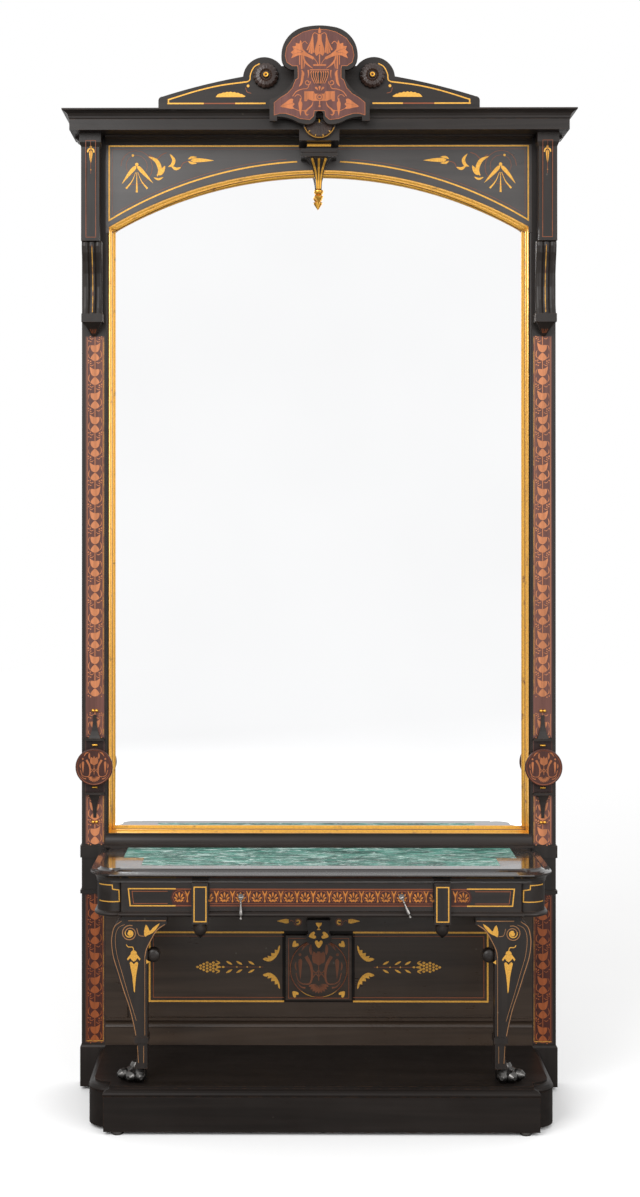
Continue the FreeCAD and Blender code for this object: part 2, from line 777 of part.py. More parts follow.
def pediment():
    # A board that rises in a sweep from its tip to the ear round the rosette.
    tip = PEDIMENT_FOOT + PEDIMENT_TIP_HEIGHT
    shoulder = PEDIMENT_FOOT + PEDIMENT_RISE
    saddle = PEDIMENT_FOOT + PEDIMENT_SADDLE
    ear_z = PEDIMENT_FOOT + EAR_RISE
    flank = EAR_X + math.sqrt(EAR_RADIUS ** 2 - (shoulder - ear_z) ** 2)
    inside = EAR_X - math.sqrt(EAR_RADIUS ** 2 - (saddle - ear_z) ** 2)
    top_x = PEDIMENT_TIP - PEDIMENT_TIP_ROUND

    def sweep(share):
        # The top edge bows up a little between its tip and the ear.
        bow = PEDIMENT_BOW * 4 * share * (1 - share)
        return (top_x + (flank - top_x) * share, tip + (shoulder - tip) * share + bow)

    wire = path(
        upright(PEDIMENT_BACK),
        (PEDIMENT_INNER, PEDIMENT_FOOT),
        ((PEDIMENT_TIP, PEDIMENT_FOOT),),
        ((PEDIMENT_TIP, tip - PEDIMENT_TIP_ROUND),),
        ((PEDIMENT_TIP - PEDIMENT_TIP_ROUND * 0.29, tip - PEDIMENT_TIP_ROUND * 0.29), sweep(0)),
        (sweep(0.5), sweep(1)),
        ((EAR_X, ear_z + EAR_RADIUS), (inside, saddle)),
        ((PEDIMENT_INNER, saddle),),
        ((PEDIMENT_INNER, PEDIMENT_FOOT),),
    )
    return board(wire, PEDIMENT_BACK, PEDIMENT_FRONT)


def petals(radius, depth):
    # Outline of a ring of petals, each a ridge between two valleys.
    turn = 2 * math.pi / ROSETTE_LOBES
    valley = radius * PETAL_VALLEY_SHARE

    def spot(reach, steps):
        return (ROSETTE_X + reach * math.cos(turn * steps), ROSETTE_Z + reach * math.sin(turn * steps))

    points = []
    for lobe in range(ROSETTE_LOBES):
        points += [spot(valley, lobe), spot(radius, lobe + 0.3), spot(radius, lobe + 0.7)]
    return polygon(upright(depth), points)


def pediment_rosette():
    # A dome of ridged petals with a button in the middle.
    front = PEDIMENT_FRONT + ROSETTE_REACH
    middle = PEDIMENT_FRONT + ROSETTE_REACH * PETAL_SHARES[-1][1]
    ring = loft([petals(ROSETTE_RADIUS * r, PEDIMENT_FRONT + ROSETTE_REACH * d) for r, d in PETAL_SHARES])
    button = turned_out(
        ROSETTE_X, ROSETTE_Z,
        (0, middle),
        ((ROSETTE_BUTTON, middle),),
        ((ROSETTE_BUTTON * 0.71, (middle + front + front) / 3), (0, front)),
        ((0, middle),),
    )
    return fused([ring, button])


def crest_top():
    # A lobe that is widest low down and flattens towards its crown.
    wide = LOBE_HEIGHT * LOBE_WIDE_SHARE
    above = LOBE_HEIGHT - wide

    def spot(across, up):
        return (LOBE_HALF * across, CREST_NECK_TOP + wide + above * up)

    low = CREST_NECK_TOP + wide / 3
    wire = path(
        upright(CREST_BACK),
        (-LOBE_FOOT_HALF, CREST_NECK_TOP),
        ((-LOBE_HALF * 0.93, low), spot(-1, 0)),
        (spot(-0.76, 0.7), spot(-0.33, 0.96)),
        (spot(0, 1), spot(0.33, 0.96)),
        (spot(0.76, 0.7), spot(1, 0)),
        ((LOBE_HALF * 0.93, low), (LOBE_FOOT_HALF, CREST_NECK_TOP)),
        ((-LOBE_FOOT_HALF, CREST_NECK_TOP),),
    )
    return board(wire, CREST_BACK, CREST_BACK + CREST_REACH)


def crest_half(side):
    # Legs of the crest's outline from its neck to the notch, on one side.
    flare_x = CREST_NECK_HALF + (CREST_FOOT_HALF - CREST_NECK_HALF) * 0.35
    flare_z = CREST_SHOULDER + (CREST_NECK_FOOT - CREST_SHOULDER) * 0.43
    lip = CREST_FOOT + CREST_LIP
    inner = CREST_FOOT_HALF - CREST_FOOT_WIDTH
    fall = lip - CREST_WAVE_FOOT
    brow = (inner * 0.45 + CREST_WAVE_MIDDLE * 0.55, lip - fall * 0.12)
    belly = (CREST_WAVE_MIDDLE * 0.45 + CREST_WAVE_HALF * 0.55, CREST_WAVE_FOOT + fall * 0.12)
    points = [
        ((CREST_NECK_HALF, CREST_NECK_FOOT),),
        ((flare_x, flare_z), (CREST_FOOT_HALF, CREST_SHOULDER)),
        ((CREST_FOOT_HALF, CREST_FOOT),),
        ((inner, CREST_FOOT),),
        ((inner, lip),),
        (brow, (CREST_WAVE_MIDDLE, lip - fall * 0.42)),
        (belly, (CREST_WAVE_HALF, CREST_WAVE_FOOT)),
        ((CREST_NOTCH_HALF * 1.3, CREST_WAVE_FOOT + fall * 0.4), (CREST_NOTCH_HALF, CREST_NOTCH_FOOT)),
    ]
    return [tuple((side * x, z) for x, z in leg) for leg in points]


def crest_body():
    right = crest_half(1)
    left = crest_half(-1)
    back_legs = []
    for index in range(len(left) - 1, 0, -1):
        back_legs.append(left[index][:-1] + (left[index - 1][-1],))
    wire = path(
        upright(CREST_BACK),
        (-CREST_NECK_HALF, CREST_NECK_TOP),
        ((CREST_NECK_HALF, CREST_NECK_TOP),),
        *right,
        ((0, CREST_NOTCH_FOOT + CREST_NOTCH_ARCH), left[-1][-1]),
        *back_legs,
        ((-CREST_NECK_HALF, CREST_NECK_TOP),),
    )
    plate = board(wire, CREST_BACK, CREST_BACK + CREST_REACH)
    top = PEDIMENT_FOOT + PEDIMENT_SADDLE - CORE_DROP
    core = box(-PEDIMENT_INNER, PEDIMENT_INNER, PEDIMENT_BACK, CREST_BACK, PEDIMENT_FOOT, top)
    return plate.fuse(core)


def keystone():
    # Block, bar, shelf and a ribbed bracket that narrows down to the arrow.
    bar_foot = KEY_FOOT - KEY_BAR_DROP
    pieces = [box(-KEY_HALF, KEY_HALF, 0, FASCIA_REACH, KEY_FOOT, CORNICE_FOOT)]
    pieces.append(box(-KEY_BAR_HALF, KEY_BAR_HALF, 0, KEY_BAR_REACH, bar_foot, KEY_FOOT))
    pieces.append(box(-KEY_BAR_HALF, KEY_BAR_HALF, 0, PIER_REACH, SHELF_TOP, bar_foot))
    shelf = box(-SHELF_HALF, SHELF_HALF, 0, SHELF_REACH, SHELF_FOOT, SHELF_TOP)
    lip = SHELF_FOOT + SHELF_LIP
    groove = SHELF_REACH - SHELF_GROOVE
    pieces.append(shelf.cut(box(-SHELF_HALF, SHELF_HALF, groove, SHELF_REACH, lip, lip + SHELF_GROOVE)))
    wires = []
    for height_share, width_share in RIB_SHARES:
        half = RIB_FOOT_HALF + (RIB_TOP_HALF - RIB_FOOT_HALF) * width_share
        reach = RIB_FOOT_REACH + (RIB_TOP_REACH - RIB_FOOT_REACH) * width_share
        wires.append(pier_plan(-half, half, 0, reach)(0, SHELF_FOOT - RIB_HEIGHT * height_share))
    pieces.append(loft(wires))
    return fused(pieces)


def shell():
    # Half a fan, with a rim and flutes that meet at the hub.
    back = FASCIA_REACH
    front = back + SHELL_REACH
    disc = turned_out(
        0, SHELL_Z,
        (0, back),
        ((SHELL_RADIUS, back),),
        ((SHELL_RADIUS, front - SHELL_RIM),),
        ((SHELL_RADIUS - SHELL_RIM, front),),
        ((SHELL_RADIUS - SHELL_RIM - SHELL_RIM, front - SHELL_RIM),),
        ((SHELL_HUB, front - SHELL_RIM / 2),),
        ((SHELL_HUB, front),),
        ((0, front),),
        ((0, back),),
    )
    radius = math.pi * SHELL_RADIUS / SHELL_FLUTES * 0.3
    run = SHELL_RADIUS - SHELL_RIM - SHELL_RIM - SHELL_HUB
    for flute in range(SHELL_FLUTES):
        angle = math.pi * (flute + 0.5) / SHELL_FLUTES
        way = Vector(math.cos(angle), 0, -math.sin(angle))
        start = Vector(0, at(front + radius - SHELL_RIM), SHELL_Z) + way * SHELL_HUB
        disc = disc.cut(Part.makeCone(radius / 2, radius, run, start, way))
    return disc.common(box(-SHELL_RADIUS, SHELL_RADIUS, back, front, SHELL_Z - SHELL_RADIUS, SHELL_Z))


def arrow_pendant():
    # A turned knob over a cone that ends in a point.
    legs = [((ARROW_RADIUS * r, RIB_FOOT - ARROW_HEIGHT * s),) for r, s in ARROW_SHARES]
    return turned_up(0, ARROW_DEPTH, (0, RIB_FOOT), *legs, ((0, RIB_FOOT - ARROW_HEIGHT),), ((0, RIB_FOOT),))


def marble():
    notch = MARBLE_HALF - MARBLE_NOTCH
    foot = TABLE_TOP - MARBLE_THICKNESS
    back = box(-MARBLE_HALF, MARBLE_HALF, MARBLE_BACK, MARBLE_STEP, foot, TABLE_TOP)
    front = box(-notch, notch, MARBLE_STEP, MARBLE_FRONT, foot, TABLE_TOP)
    return fused([back, front])


def table_top():
    # The plan grows from the flat top to the nose, so the foot takes a share too.
    top = moulding(TABLE_PLAN, TABLE_SHARES, TABLE_NOSE, TABLE_FOOT, TABLE_THICKNESS)
    return top.cut(marble()).cut(both(shoulder_block()))


def apron_end():
    wall = straight(APRON_PLAN, 0, RAIL_TOP, TABLE_FOOT)
    side = ROUND_X + APRON_ROUND
    inside = side - APRON_WALL
    wall = wall.cut(box(-inside, inside, 0, APRON_FRONT - APRON_WALL, RAIL_TOP, TABLE_FOOT))
    rail = moulding(APRON_PLAN, RAIL_SHARES, RAIL_NOSE, RAIL_FOOT, RAIL_TOP - RAIL_FOOT)
    inside = side - RAIL_WIDTH
    rail = rail.cut(box(-inside, inside, 0, APRON_FRONT - RAIL_WIDTH, RAIL_FOOT, RAIL_TOP))
    far = side + RAIL_NOSE
    room = box(STILE_BLOCK_OUTER, far, SHOULDER_PROUD, BASE_REACH, RAIL_FOOT, TABLE_FOOT)
    return fused([wall.common(room), rail.common(room)])


def drawer_rail():
    back = APRON_FRONT - RAIL_WIDTH
    rail = box(-STILE_BLOCK_OUTER, STILE_BLOCK_OUTER, back, DRAWER_BACK, RAIL_FOOT, RAIL_TOP)
    nose = [(APRON_FRONT + RAIL_NOSE * a, RAIL_FOOT + (RAIL_TOP - RAIL_FOOT) * b) for a, b in RAIL_SHARES]
    wire = polygon(section(-STILE_BLOCK_INNER), [(DRAWER_BACK, RAIL_FOOT)] + nose + [(DRAWER_BACK, RAIL_TOP)])
    return rail.fuse(length_of(wire, -STILE_BLOCK_INNER, STILE_BLOCK_INNER))


def apron_block():
    front = APRON_FRONT + STILE_BLOCK_PROUD
    return box(STILE_BLOCK_INNER, STILE_BLOCK_OUTER, DRAWER_BACK, front, STILE_BLOCK_FOOT, TABLE_FOOT)


def block_pendant():
    # A turned drop: a collar, a waist, a round belly and a point.
    def spot(out, down):
        return (PENDANT_RADIUS * out, STILE_BLOCK_FOOT - PENDANT_HEIGHT * down)

    return turned_up(
        (STILE_BLOCK_INNER + STILE_BLOCK_OUTER) / 2, (DRAWER_BACK + APRON_FRONT + STILE_BLOCK_PROUD) / 2,
        spot(0, 0),
        (spot(0.86, 0),),
        (spot(0.86, 0.12),),
        (spot(1, 0.18),),
        (spot(1, 0.3),),
        (spot(0.94, 0.52), spot(0.68, 0.72)),
        (spot(0.3, 0.86),),
        (spot(0, 1),),
        (spot(0, 0),),
    )


def pull_hole(x):
    radius = SHANK_RADIUS + SHANK_GAP
    return Part.makeCylinder(radius, DRAWER_THICKNESS, Vector(x, at(APRON_FRONT), PULL_Z), Vector(0, 1, 0))


def drawer_front():
    half = STILE_BLOCK_INNER - DRAWER_GAP
    front = box(-half, half, DRAWER_BACK, APRON_FRONT, RAIL_TOP + DRAWER_GAP, TABLE_FOOT - DRAWER_GAP)
    return front.cut(pull_hole(PULL_LEFT_X)).cut(pull_hole(PULL_RIGHT_X))


def drawer_box():
    back = DRAWER_BACK - TRAY_LENGTH
    top = TRAY_FOOT + TRAY_HEIGHT
    inner = TRAY_HALF - TRAY_WALL
    floor = TRAY_FOOT + TRAY_FLOOR
    tray = box(-TRAY_HALF, TRAY_HALF, back, DRAWER_BACK, TRAY_FOOT, top)
    return tray.cut(box(-inner, inner, back + TRAY_WALL, DRAWER_BACK - TRAY_WALL, floor, top))


def drawer_runner():
    ledge = TRAY_FOOT - TRAY_GAP
    guide = TRAY_HALF + TRAY_SIDE_GAP
    points = [
        (guide - RUNNER_LEDGE, RAIL_FOOT), (STILE_BLOCK_INNER, RAIL_FOOT), (STILE_BLOCK_INNER, RUNNER_TOP),
        (guide, RUNNER_TOP), (guide, ledge), (guide - RUNNER_LEDGE, ledge),
    ]
    return board(polygon(upright(0), points), 0, APRON_FRONT - RAIL_WIDTH)


def pull_eye(x, tilt):
    rose_back = APRON_FRONT + ROSE_GAP
    rose_front = rose_back + ROSE_THICKNESS
    pin = APRON_FRONT + PIN_STANDOFF
    shank_back = DRAWER_BACK + ROSE_GAP
    rose = turned_out(
        x, PULL_Z,
        (0, shank_back),
        ((SHANK_RADIUS, shank_back),),
        ((SHANK_RADIUS, rose_back),),
        ((ROSE_RADIUS, rose_back),),
        ((ROSE_RADIUS * 0.8, rose_front),),
        ((0, rose_front),),
        ((0, shank_back),),
    )
    half = TONGUE_THICKNESS / 2
    tongue = box(x - half, x + half, rose_front, pin, PULL_Z - TONGUE_RADIUS, PULL_Z + TONGUE_RADIUS)
    start = Vector(x - half, at(pin), PULL_Z)
    tongue = tongue.fuse(Part.makeCylinder(TONGUE_RADIUS, TONGUE_THICKNESS, start, Vector(1, 0, 0)))
    hole = Part.makeCylinder(PIN_RADIUS + PIN_GAP, TONGUE_THICKNESS, start, Vector(1, 0, 0))
    eye = fused([rose, tongue]).cut(hole)
    eye.rotate(Vector(x, 0, PULL_Z), Vector(0, 1, 0), tilt)
    return eye


def pull_drop(x, tilt):
    pin = APRON_FRONT + PIN_STANDOFF
    inner = TONGUE_THICKNESS / 2 + CHEEK_GAP
    outer = inner + CHEEK_THICKNESS
    yoke_top = PULL_Z - TONGUE_RADIUS - CHEEK_GAP
    yoke_foot = yoke_top - CHEEK_THICKNESS

    def along_pin(radius, start, length):
        return Part.makeCylinder(radius, length, Vector(start, at(pin), PULL_Z), Vector(1, 0, 0))

    pieces = [along_pin(PIN_RADIUS, x - outer, outer + outer)]
    for start in (x - outer, x + inner):
        pieces.append(along_pin(TONGUE_RADIUS, start, CHEEK_THICKNESS))
        end = start + CHEEK_THICKNESS
        pieces.append(box(start, end, pin - PULL_NECK, pin + PULL_NECK, yoke_foot, PULL_Z))
    pieces.append(box(x - outer, x + outer, pin - PULL_NECK, pin + PULL_NECK, yoke_foot, yoke_top))
    run = PULL_LENGTH - (PULL_Z - yoke_foot)
    points = [(PULL_RADIUS * r, yoke_foot - run * s) for s, r in PULL_SHARES]
    legs = [(point,) for point in points]
    foot = points[-1][1]
    ends = [((0, foot),), ((0, yoke_foot),)]
    pieces.append(turned_up(x, pin, (0, yoke_foot), ((PULL_NECK, yoke_foot),), *legs, *ends))
    drop = fused(pieces)
    drop.rotate(Vector(x, 0, PULL_Z), Vector(0, 1, 0), tilt)
    return drop


def back_panel():
    panel = box(-PILASTER_INNER, PILASTER_INNER, -FRAME_DEPTH, 0, GLIDE_HEIGHT, SILL_FOOT)
    half = PILASTER_INNER - PANEL_MARGIN
    panel = panel.cut(box(-half, half, -PANEL_DEPTH, 0, PANEL_FOOT, PANEL_TOP))
    foot = PANEL_FOOT - PANEL_BEAD
    reach = PANEL_BEAD_REACH
    wire = path(
        section(-PILASTER_INNER),
        (0, foot),
        ((reach / 2, foot),),
        ((reach / 3, PANEL_FOOT - PANEL_BEAD / 2), (reach, PANEL_FOOT - PANEL_BEAD / 4)),
        ((reach, PANEL_FOOT),),
        ((0, PANEL_FOOT),),
        ((0, foot),),
    )
    return panel.fuse(length_of(wire, -PILASTER_INNER, PILASTER_INNER))


def plaque():
    front = PLAQUE_THICKNESS - PANEL_DEPTH
    plate = box(-PLAQUE_HALF, PLAQUE_HALF, -PANEL_DEPTH, front, PLAQUE_FOOT, PLAQUE_TOP)
    inner = PLAQUE_RING - PLAQUE_RING_WIDTH
    ring = turned_out(
        0, PLAQUE_RING_Z,
        (inner, front),
        ((PLAQUE_RING, front),),
        (((PLAQUE_RING + inner) / 2, front + PLAQUE_RING_PROUD), (inner, front)),
    )
    return plate.fuse(ring)


def trefoil():
    front = PLAQUE_THICKNESS - PANEL_DEPTH + TREFOIL_REACH
    length = front + PANEL_DEPTH
    pieces = []
    for x, z in ((-TREFOIL_SPREAD, TREFOIL_Z), (TREFOIL_SPREAD, TREFOIL_Z), (0, TREFOIL_FOOT)):
        pieces.append(Part.makeCylinder(TREFOIL_LOBE, length, Vector(x, at(front), z), Vector(0, 1, 0)))
    cup = path(
        upright(-PANEL_DEPTH),
        (-TREFOIL_CUP_HALF, TREFOIL_CUP_TOP),
        ((-TREFOIL_CUP_HALF, (TREFOIL_CUP_TOP + TREFOIL_Z) / 2), (-TREFOIL_LOBE, TREFOIL_Z)),
        ((TREFOIL_LOBE, TREFOIL_Z),),
        ((TREFOIL_CUP_HALF, (TREFOIL_CUP_TOP + TREFOIL_Z) / 2), (TREFOIL_CUP_HALF, TREFOIL_CUP_TOP)),
        ((-TREFOIL_CUP_HALF, TREFOIL_CUP_TOP),),
    )
    pieces.append(board(cup, -PANEL_DEPTH, front))
    return fused(pieces).cut(plaque())


def platform():
    top = moulding(BASE_PLAN, PLATFORM_SHARES, BASE_NOSE, PLATFORM_FOOT, PLINTH_TOP - PLATFORM_FOOT)
    return top.cut(both(plinth_block()))


def base_ring():
    side = BASE_ROUND_X + BASE_ROUND + BASE_FACE
    outer = straight(BASE_PLAN, BASE_FACE, GLIDE_HEIGHT, PLATFORM_FOOT)
    inside = side - BASE_BOARD
    front = BASE_FRONT + BASE_FACE - BASE_BOARD
    between = BASE_BLOCK + BASE_FACE - BASE_BOARD
    ring = outer.cut(box(-inside, inside, 0, BASE_ROUND_DEPTH, GLIDE_HEIGHT, PLATFORM_FOOT))
    ring = ring.cut(box(-between, between, 0, front, GLIDE_HEIGHT, PLATFORM_FOOT))
    return ring.cut(both(plinth_block()))


def base_front():
    half = BASE_BLOCK + BASE_FACE
    back = BASE_FRONT + BASE_FACE - BASE_BOARD
    return base_ring().common(box(-half, half, back, BASE_REACH, GLIDE_HEIGHT, PLATFORM_FOOT))


def base_corner():
    right = box(0, PILASTER_OUTER, 0, BASE_REACH, GLIDE_HEIGHT, PLATFORM_FOOT)
    return base_ring().cut(base_front()).common(right)


def glides():
    half = GLIDE_WIDTH / 2
    pieces = []
    front = BASE_FRONT + BASE_FACE - GLIDE_SET_BACK
    places = ((GLIDE_CENTRE, front), (GLIDE_BACK_CENTRE, -FRAME_DEPTH / 2))
    for x, depth in places:
        pieces.append(turned_up(
            x, depth,
            (0, 0),
            ((half * 0.9, 0),),
            ((half, GLIDE_HEIGHT / 3),),
            ((half, GLIDE_HEIGHT),),
            ((0, GLIDE_HEIGHT),),
            ((0, 0),),
        ))
    return both(Part.makeCompound(pieces))


def leg():
    # Scroll leg: broad top, knee, slim ankle with a collar, flaring into the paw.
    def between(start, end, across, up):
        return (start[0] + (end[0] - start[0]) * across, start[1] + (end[1] - start[1]) * up)

    inner_curve = (LEG_INNER, LEG_CURVE_FOOT)
    tip = (LEG_TIP, LEG_TIP_FOOT)
    shoulder = (LEG_SHOULDER, RAIL_FOOT)
    knee = (LEG_KNEE, LEG_KNEE_Z)
    calf = (LEG_CALF, LEG_CALF_Z)
    ankle = (LEG_ANKLE, COLLAR_TOP)
    shank = (LEG_SHANK_OUTER, COLLAR_FOOT)
    foot = (LEG_FOOT_OUTER, LEG_FOOT)
    wire = path(
        upright(LEG_BACK),
        (LEG_INNER, LEG_FOOT),
        (inner_curve,),
        (between(inner_curve, tip, 0.32, 0.6), tip),
        ((LEG_TIP, RAIL_FOOT),),
        (shoulder,),
        (between(shoulder, knee, 0.68, 0.38), knee),
        (between(knee, calf, 0.3, 0.5), calf),
        (between(calf, ankle, 0.6, 0.5), ankle),
        (shank,),
        (between(shank, foot, 0, 0.5), foot),
        ((LEG_INNER, LEG_FOOT),),
    )
    collar = box(
        LEG_INNER - COLLAR_PROUD, LEG_ANKLE + COLLAR_PROUD,
        LEG_BACK - COLLAR_PROUD, LEG_FRONT + COLLAR_PROUD,
        COLLAR_FOOT, COLLAR_TOP,
    )
    return board(wire, LEG_BACK, LEG_FRONT).fuse(collar)


def leg_boss():
    back = LEG_BACK + LEG_BOSS_TUCK
    front = LEG_FRONT - LEG_BOSS_TUCK
    boss = turned_out(
        LEG_BOSS_X, LEG_BOSS_Z,
        (0, back),
        ((LEG_BOSS_RADIUS, back),),
        ((LEG_BOSS_RADIUS, front - LEG_BOSS_TUCK),),
        ((LEG_BOSS_RADIUS * 0.88, front - LEG_BOSS_TUCK * 0.5),),
        ((LEG_BOSS_RADIUS * 0.6, front - LEG_BOSS_TUCK * 0.15),),
        ((LEG_BOSS_RADIUS * 0.3, front),),
        ((0, front),),
        ((0, back),),
    )
    far = LEG_BOSS_X + LEG_BOSS_RADIUS
    return boss.cut(box(LEG_INNER, far, back, front, LEG_BOSS_Z - LEG_BOSS_RADIUS, LEG_CURVE_FOOT))


def toe(angle):
    way = Vector(math.sin(math.radians(angle)), -math.cos(math.radians(angle)), 0)
    start = Vector(PAW_X, at(PAW_DEPTH), PLINTH_TOP + TOE_RADIUS - TOE_SINK)
    points = [(TOE_RADIUS * r, TOE_LENGTH * s) for s, r in TOE_SHARES]
    end = points[-1][1]

    def place(p):
        return start + way * p[1] + Vector(0, 0, p[0])

    legs = [(point,) for point in points]
    return turned(place, start, way, (0, 0), *legs, ((0, end),), ((0, 0),))


def paw():
    top = PLINTH_TOP + PAW_HEIGHT
    pad = turned_up(
        PAW_X, PAW_DEPTH,
        (0, PLINTH_TOP),
        ((PAW_RADIUS, PLINTH_TOP),),
        ((PAW_RADIUS * 1.02, PLINTH_TOP + PAW_HEIGHT * 0.5), (PAW_RADIUS * 0.6, top)),
        ((0, top),),
        ((0, PLINTH_TOP),),
    )
    whole = fused([pad] + [toe(angle) for angle in TOE_ANGLES])
    ground = box(0, PILASTER_OUTER, 0, BASE_REACH, GLIDE_HEIGHT, PLINTH_TOP)
    return whole.cut(ground).cut(leg())


def pieces():
    yield "pilaster_left", mirrored(pilaster())
    yield "pilaster_right", pilaster()
    yield "upper_piers", both(upper_pier())
    yield "scroll_bracket_left", mirrored(scroll_bracket())
    yield "scroll_bracket_right", scroll_bracket()
    yield "bracket_drops", both(bracket_drop())
    yield "marquetry_strip_left", mirrored(strips())
    yield "marquetry_strip_right", strips()
    yield "roundel_supports", both(roundel_support())
    yield "roundel_left", mirrored(roundel())
    yield "roundel_right", roundel()
    yield "gilt_beads", both(gilt_beads())
    yield "shoulder_blocks", both(shoulder_block())
    yield "plinth_blocks", both(plinth_block())
    yield "arched_head", arched_head()
    yield "sill_rail", sill_rail()
    yield "gilt_slip_left", mirrored(slip_side())
    yield "gilt_slip_right", slip_side()
    yield "gilt_slip_sill", slip_sill()
    yield "gilt_slip_arch", slip_arch()
    yield "mirror_plate", mirror_plate()
    yield "backboards", backboards()
    yield "cornice_fascia", cornice_fascia()
    yield "cornice_crown", cornice_crown()
    yield "bed_mould", bed_mould()
    yield "pediment_left", mirrored(pediment())
    yield "pediment_right", pediment()
    yield "pediment_rosettes", both(pediment_rosette())
    yield "crest_top", crest_top()
    yield "crest_body", crest_body()
    yield "keystone", keystone()
    yield "shell", shell()
    yield "arrow_pendant", arrow_pendant()
    yield "table_top", table_top()
    yield "marble", marble()
    yield "apron_end_left", mirrored(apron_end())
    yield "apron_end_right", apron_end()
    yield "drawer_rail", drawer_rail()
    yield "apron_blocks", both(apron_block())
    yield "block_pendants", both(block_pendant())
    yield "drawer_front", drawer_front()
    yield "drawer_box", drawer_box()
    yield "drawer_runners", both(drawer_runner())
    yield "pull_eye_left", pull_eye(PULL_LEFT_X, 0)
    yield "pull_eye_right", pull_eye(PULL_RIGHT_X, -PULL_TILT)
    yield "pull_drop_left", pull_drop(PULL_LEFT_X, 0)
    yield "pull_drop_right", pull_drop(PULL_RIGHT_X, -PULL_TILT)
    yield "back_panel", back_panel()
    yield "plaque", plaque()
    yield "trefoil", trefoil()
    yield "platform", platform()
    yield "base_front", base_front()
    yield "base_corner_left", mirrored(base_corner())
    yield "base_corner_right", base_corner()
    yield "glides", glides()
    yield "leg_left", mirrored(leg())
    yield "leg_right", leg()
    yield "leg_bosses", both(leg_boss())
    yield "paw_left", mirrored(paw())
    yield "paw_right", paw()


def main():
    os.makedirs("parts", exist_ok=True)
    for name, shape in pieces():
        shape.exportStep(os.path.join("parts", name + ".step"))
        print(name, len(shape.Solids), shape.isValid(), round(shape.Volume))


main()
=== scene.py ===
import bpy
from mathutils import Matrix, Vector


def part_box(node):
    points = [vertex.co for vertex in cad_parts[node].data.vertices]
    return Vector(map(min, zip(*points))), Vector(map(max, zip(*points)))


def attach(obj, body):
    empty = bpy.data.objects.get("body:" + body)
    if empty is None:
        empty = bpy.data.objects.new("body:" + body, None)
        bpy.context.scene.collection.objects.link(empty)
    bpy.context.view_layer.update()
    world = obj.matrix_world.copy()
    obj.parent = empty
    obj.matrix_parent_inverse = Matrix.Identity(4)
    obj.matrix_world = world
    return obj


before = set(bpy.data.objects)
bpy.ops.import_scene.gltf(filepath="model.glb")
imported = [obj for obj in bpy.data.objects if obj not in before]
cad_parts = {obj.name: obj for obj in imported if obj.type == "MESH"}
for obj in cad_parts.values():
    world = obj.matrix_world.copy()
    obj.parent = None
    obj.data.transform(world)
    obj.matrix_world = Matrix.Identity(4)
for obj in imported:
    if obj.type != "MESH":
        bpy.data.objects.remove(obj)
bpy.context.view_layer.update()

import math

import bmesh
import bpy
from mathutils import Matrix, Vector
from mathutils.bvhtree import BVHTree

bl_info = {
    "name": "Marquetry Pier Mirror",
    "version": (1, 0, 0),
    "blender": (4, 5, 0),
    "location": "View3D > Sidebar > Pier Mirror",
    "description": "Dresses the ebonised pier mirror with marquetry, gilding, marble and glass",
    "category": "Object",
}

# Inlay is drawn in millimetres across and up, as it is seen from the front,
# and each point of it drops back onto the surface of the nodes that carry it.
MM = 0.001
SIDES = (-1, 1)
FAR_FRONT = 2000.0
LAYER = 0.014
LAYERS = 6
SINK = 1.0
GILT_PROUD = 0.42
FIGURE_PROUD = 0.30
LINE_PROUD = 0.20
GROUND_PROUD = 0.10

# Widths of lines
THREAD = 0.9
HAIR_LINE = 1.2
REED_LINE = 1.4
FINE_LINE = 1.6
EDGE_LINE = 2.2
LIP_LINE = 2.4
GILT_LINE = 4.2


def corners(node):
    """The lowest and the highest corner of a node."""
    low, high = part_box(node)
    return low / MM, high / MM


def both(name):
    return [f"{name}_left", f"{name}_right"]


# Widths of a stroke along its length, as shares

def even(share):
    return 1.0


def sloped(start, end):
    return lambda share: start + (end - start) * share


def leaf(share):
    return max(0.05, math.sin(math.pi * share) ** 0.75)


def drop(share):
    return max(0.05, math.sin(math.pi * share ** 0.55) ** 0.8)


def bud(share):
    return max(0.05, math.sin(math.pi * share ** 1.7) ** 0.8)


def flare(share):
    return 0.25 + 0.75 * share ** 1.6


taper = sloped(1.0, 0.2)


# Outlines

def straight(start, end, steps):
    (x0, z0), (x1, z1) = start, end
    return [(x0 + (x1 - x0) * i / steps, z0 + (z1 - z0) * i / steps) for i in range(steps + 1)]


def stepped(corner_points, steps):
    """The points of an outline, with each stretch between two of them cut into steps."""
    found = []
    for start, end in zip(corner_points, corner_points[1:]):
        found += straight(start, end, steps)[:-1]
    return found + [corner_points[-1]]


def smooth(points, steps=5):
    """Points along a smooth curve through the given ones."""
    if len(points) < 3:
        return straight(*points, steps)
    spots = [Vector(p) for p in points]
    spots = [spots[0] * 2 - spots[1]] + spots + [spots[-1] * 2 - spots[-2]]
    found = []
    for i in range(1, len(spots) - 2):
        a, b, c, d = spots[i - 1:i + 3]
        for step in range(steps):
            t = step / steps
            bend = (a * 2 - b * 5 + c * 4 - d) * t ** 2 + (b * 3 - a - c * 3 + d) * t ** 3
            found.append(tuple((b * 2 + (c - a) * t + bend) / 2))
    found.append(tuple(spots[-2]))
    return found


def spiral(x, z, outer, inner, turns, start, steps=16):
    """Points from the outside of a spiral to its eye."""
    count = max(6, round(abs(turns) * steps))
    found = []
    for i in range(count + 1):
        share = i / count
        radius = outer + (inner - outer) * share
        angle = math.radians(start) + 2 * math.pi * turns * share
        found.append((x + radius * math.cos(angle), z + radius * math.sin(angle)))
    return found


def arc(x, z, radius, start, end, steps=24):
    found = []
    for i in range(steps + 1):
        angle = math.radians(start + (end - start) * i / steps)
        found.append((x + radius * math.cos(angle), z + radius * math.sin(angle)))
    return found


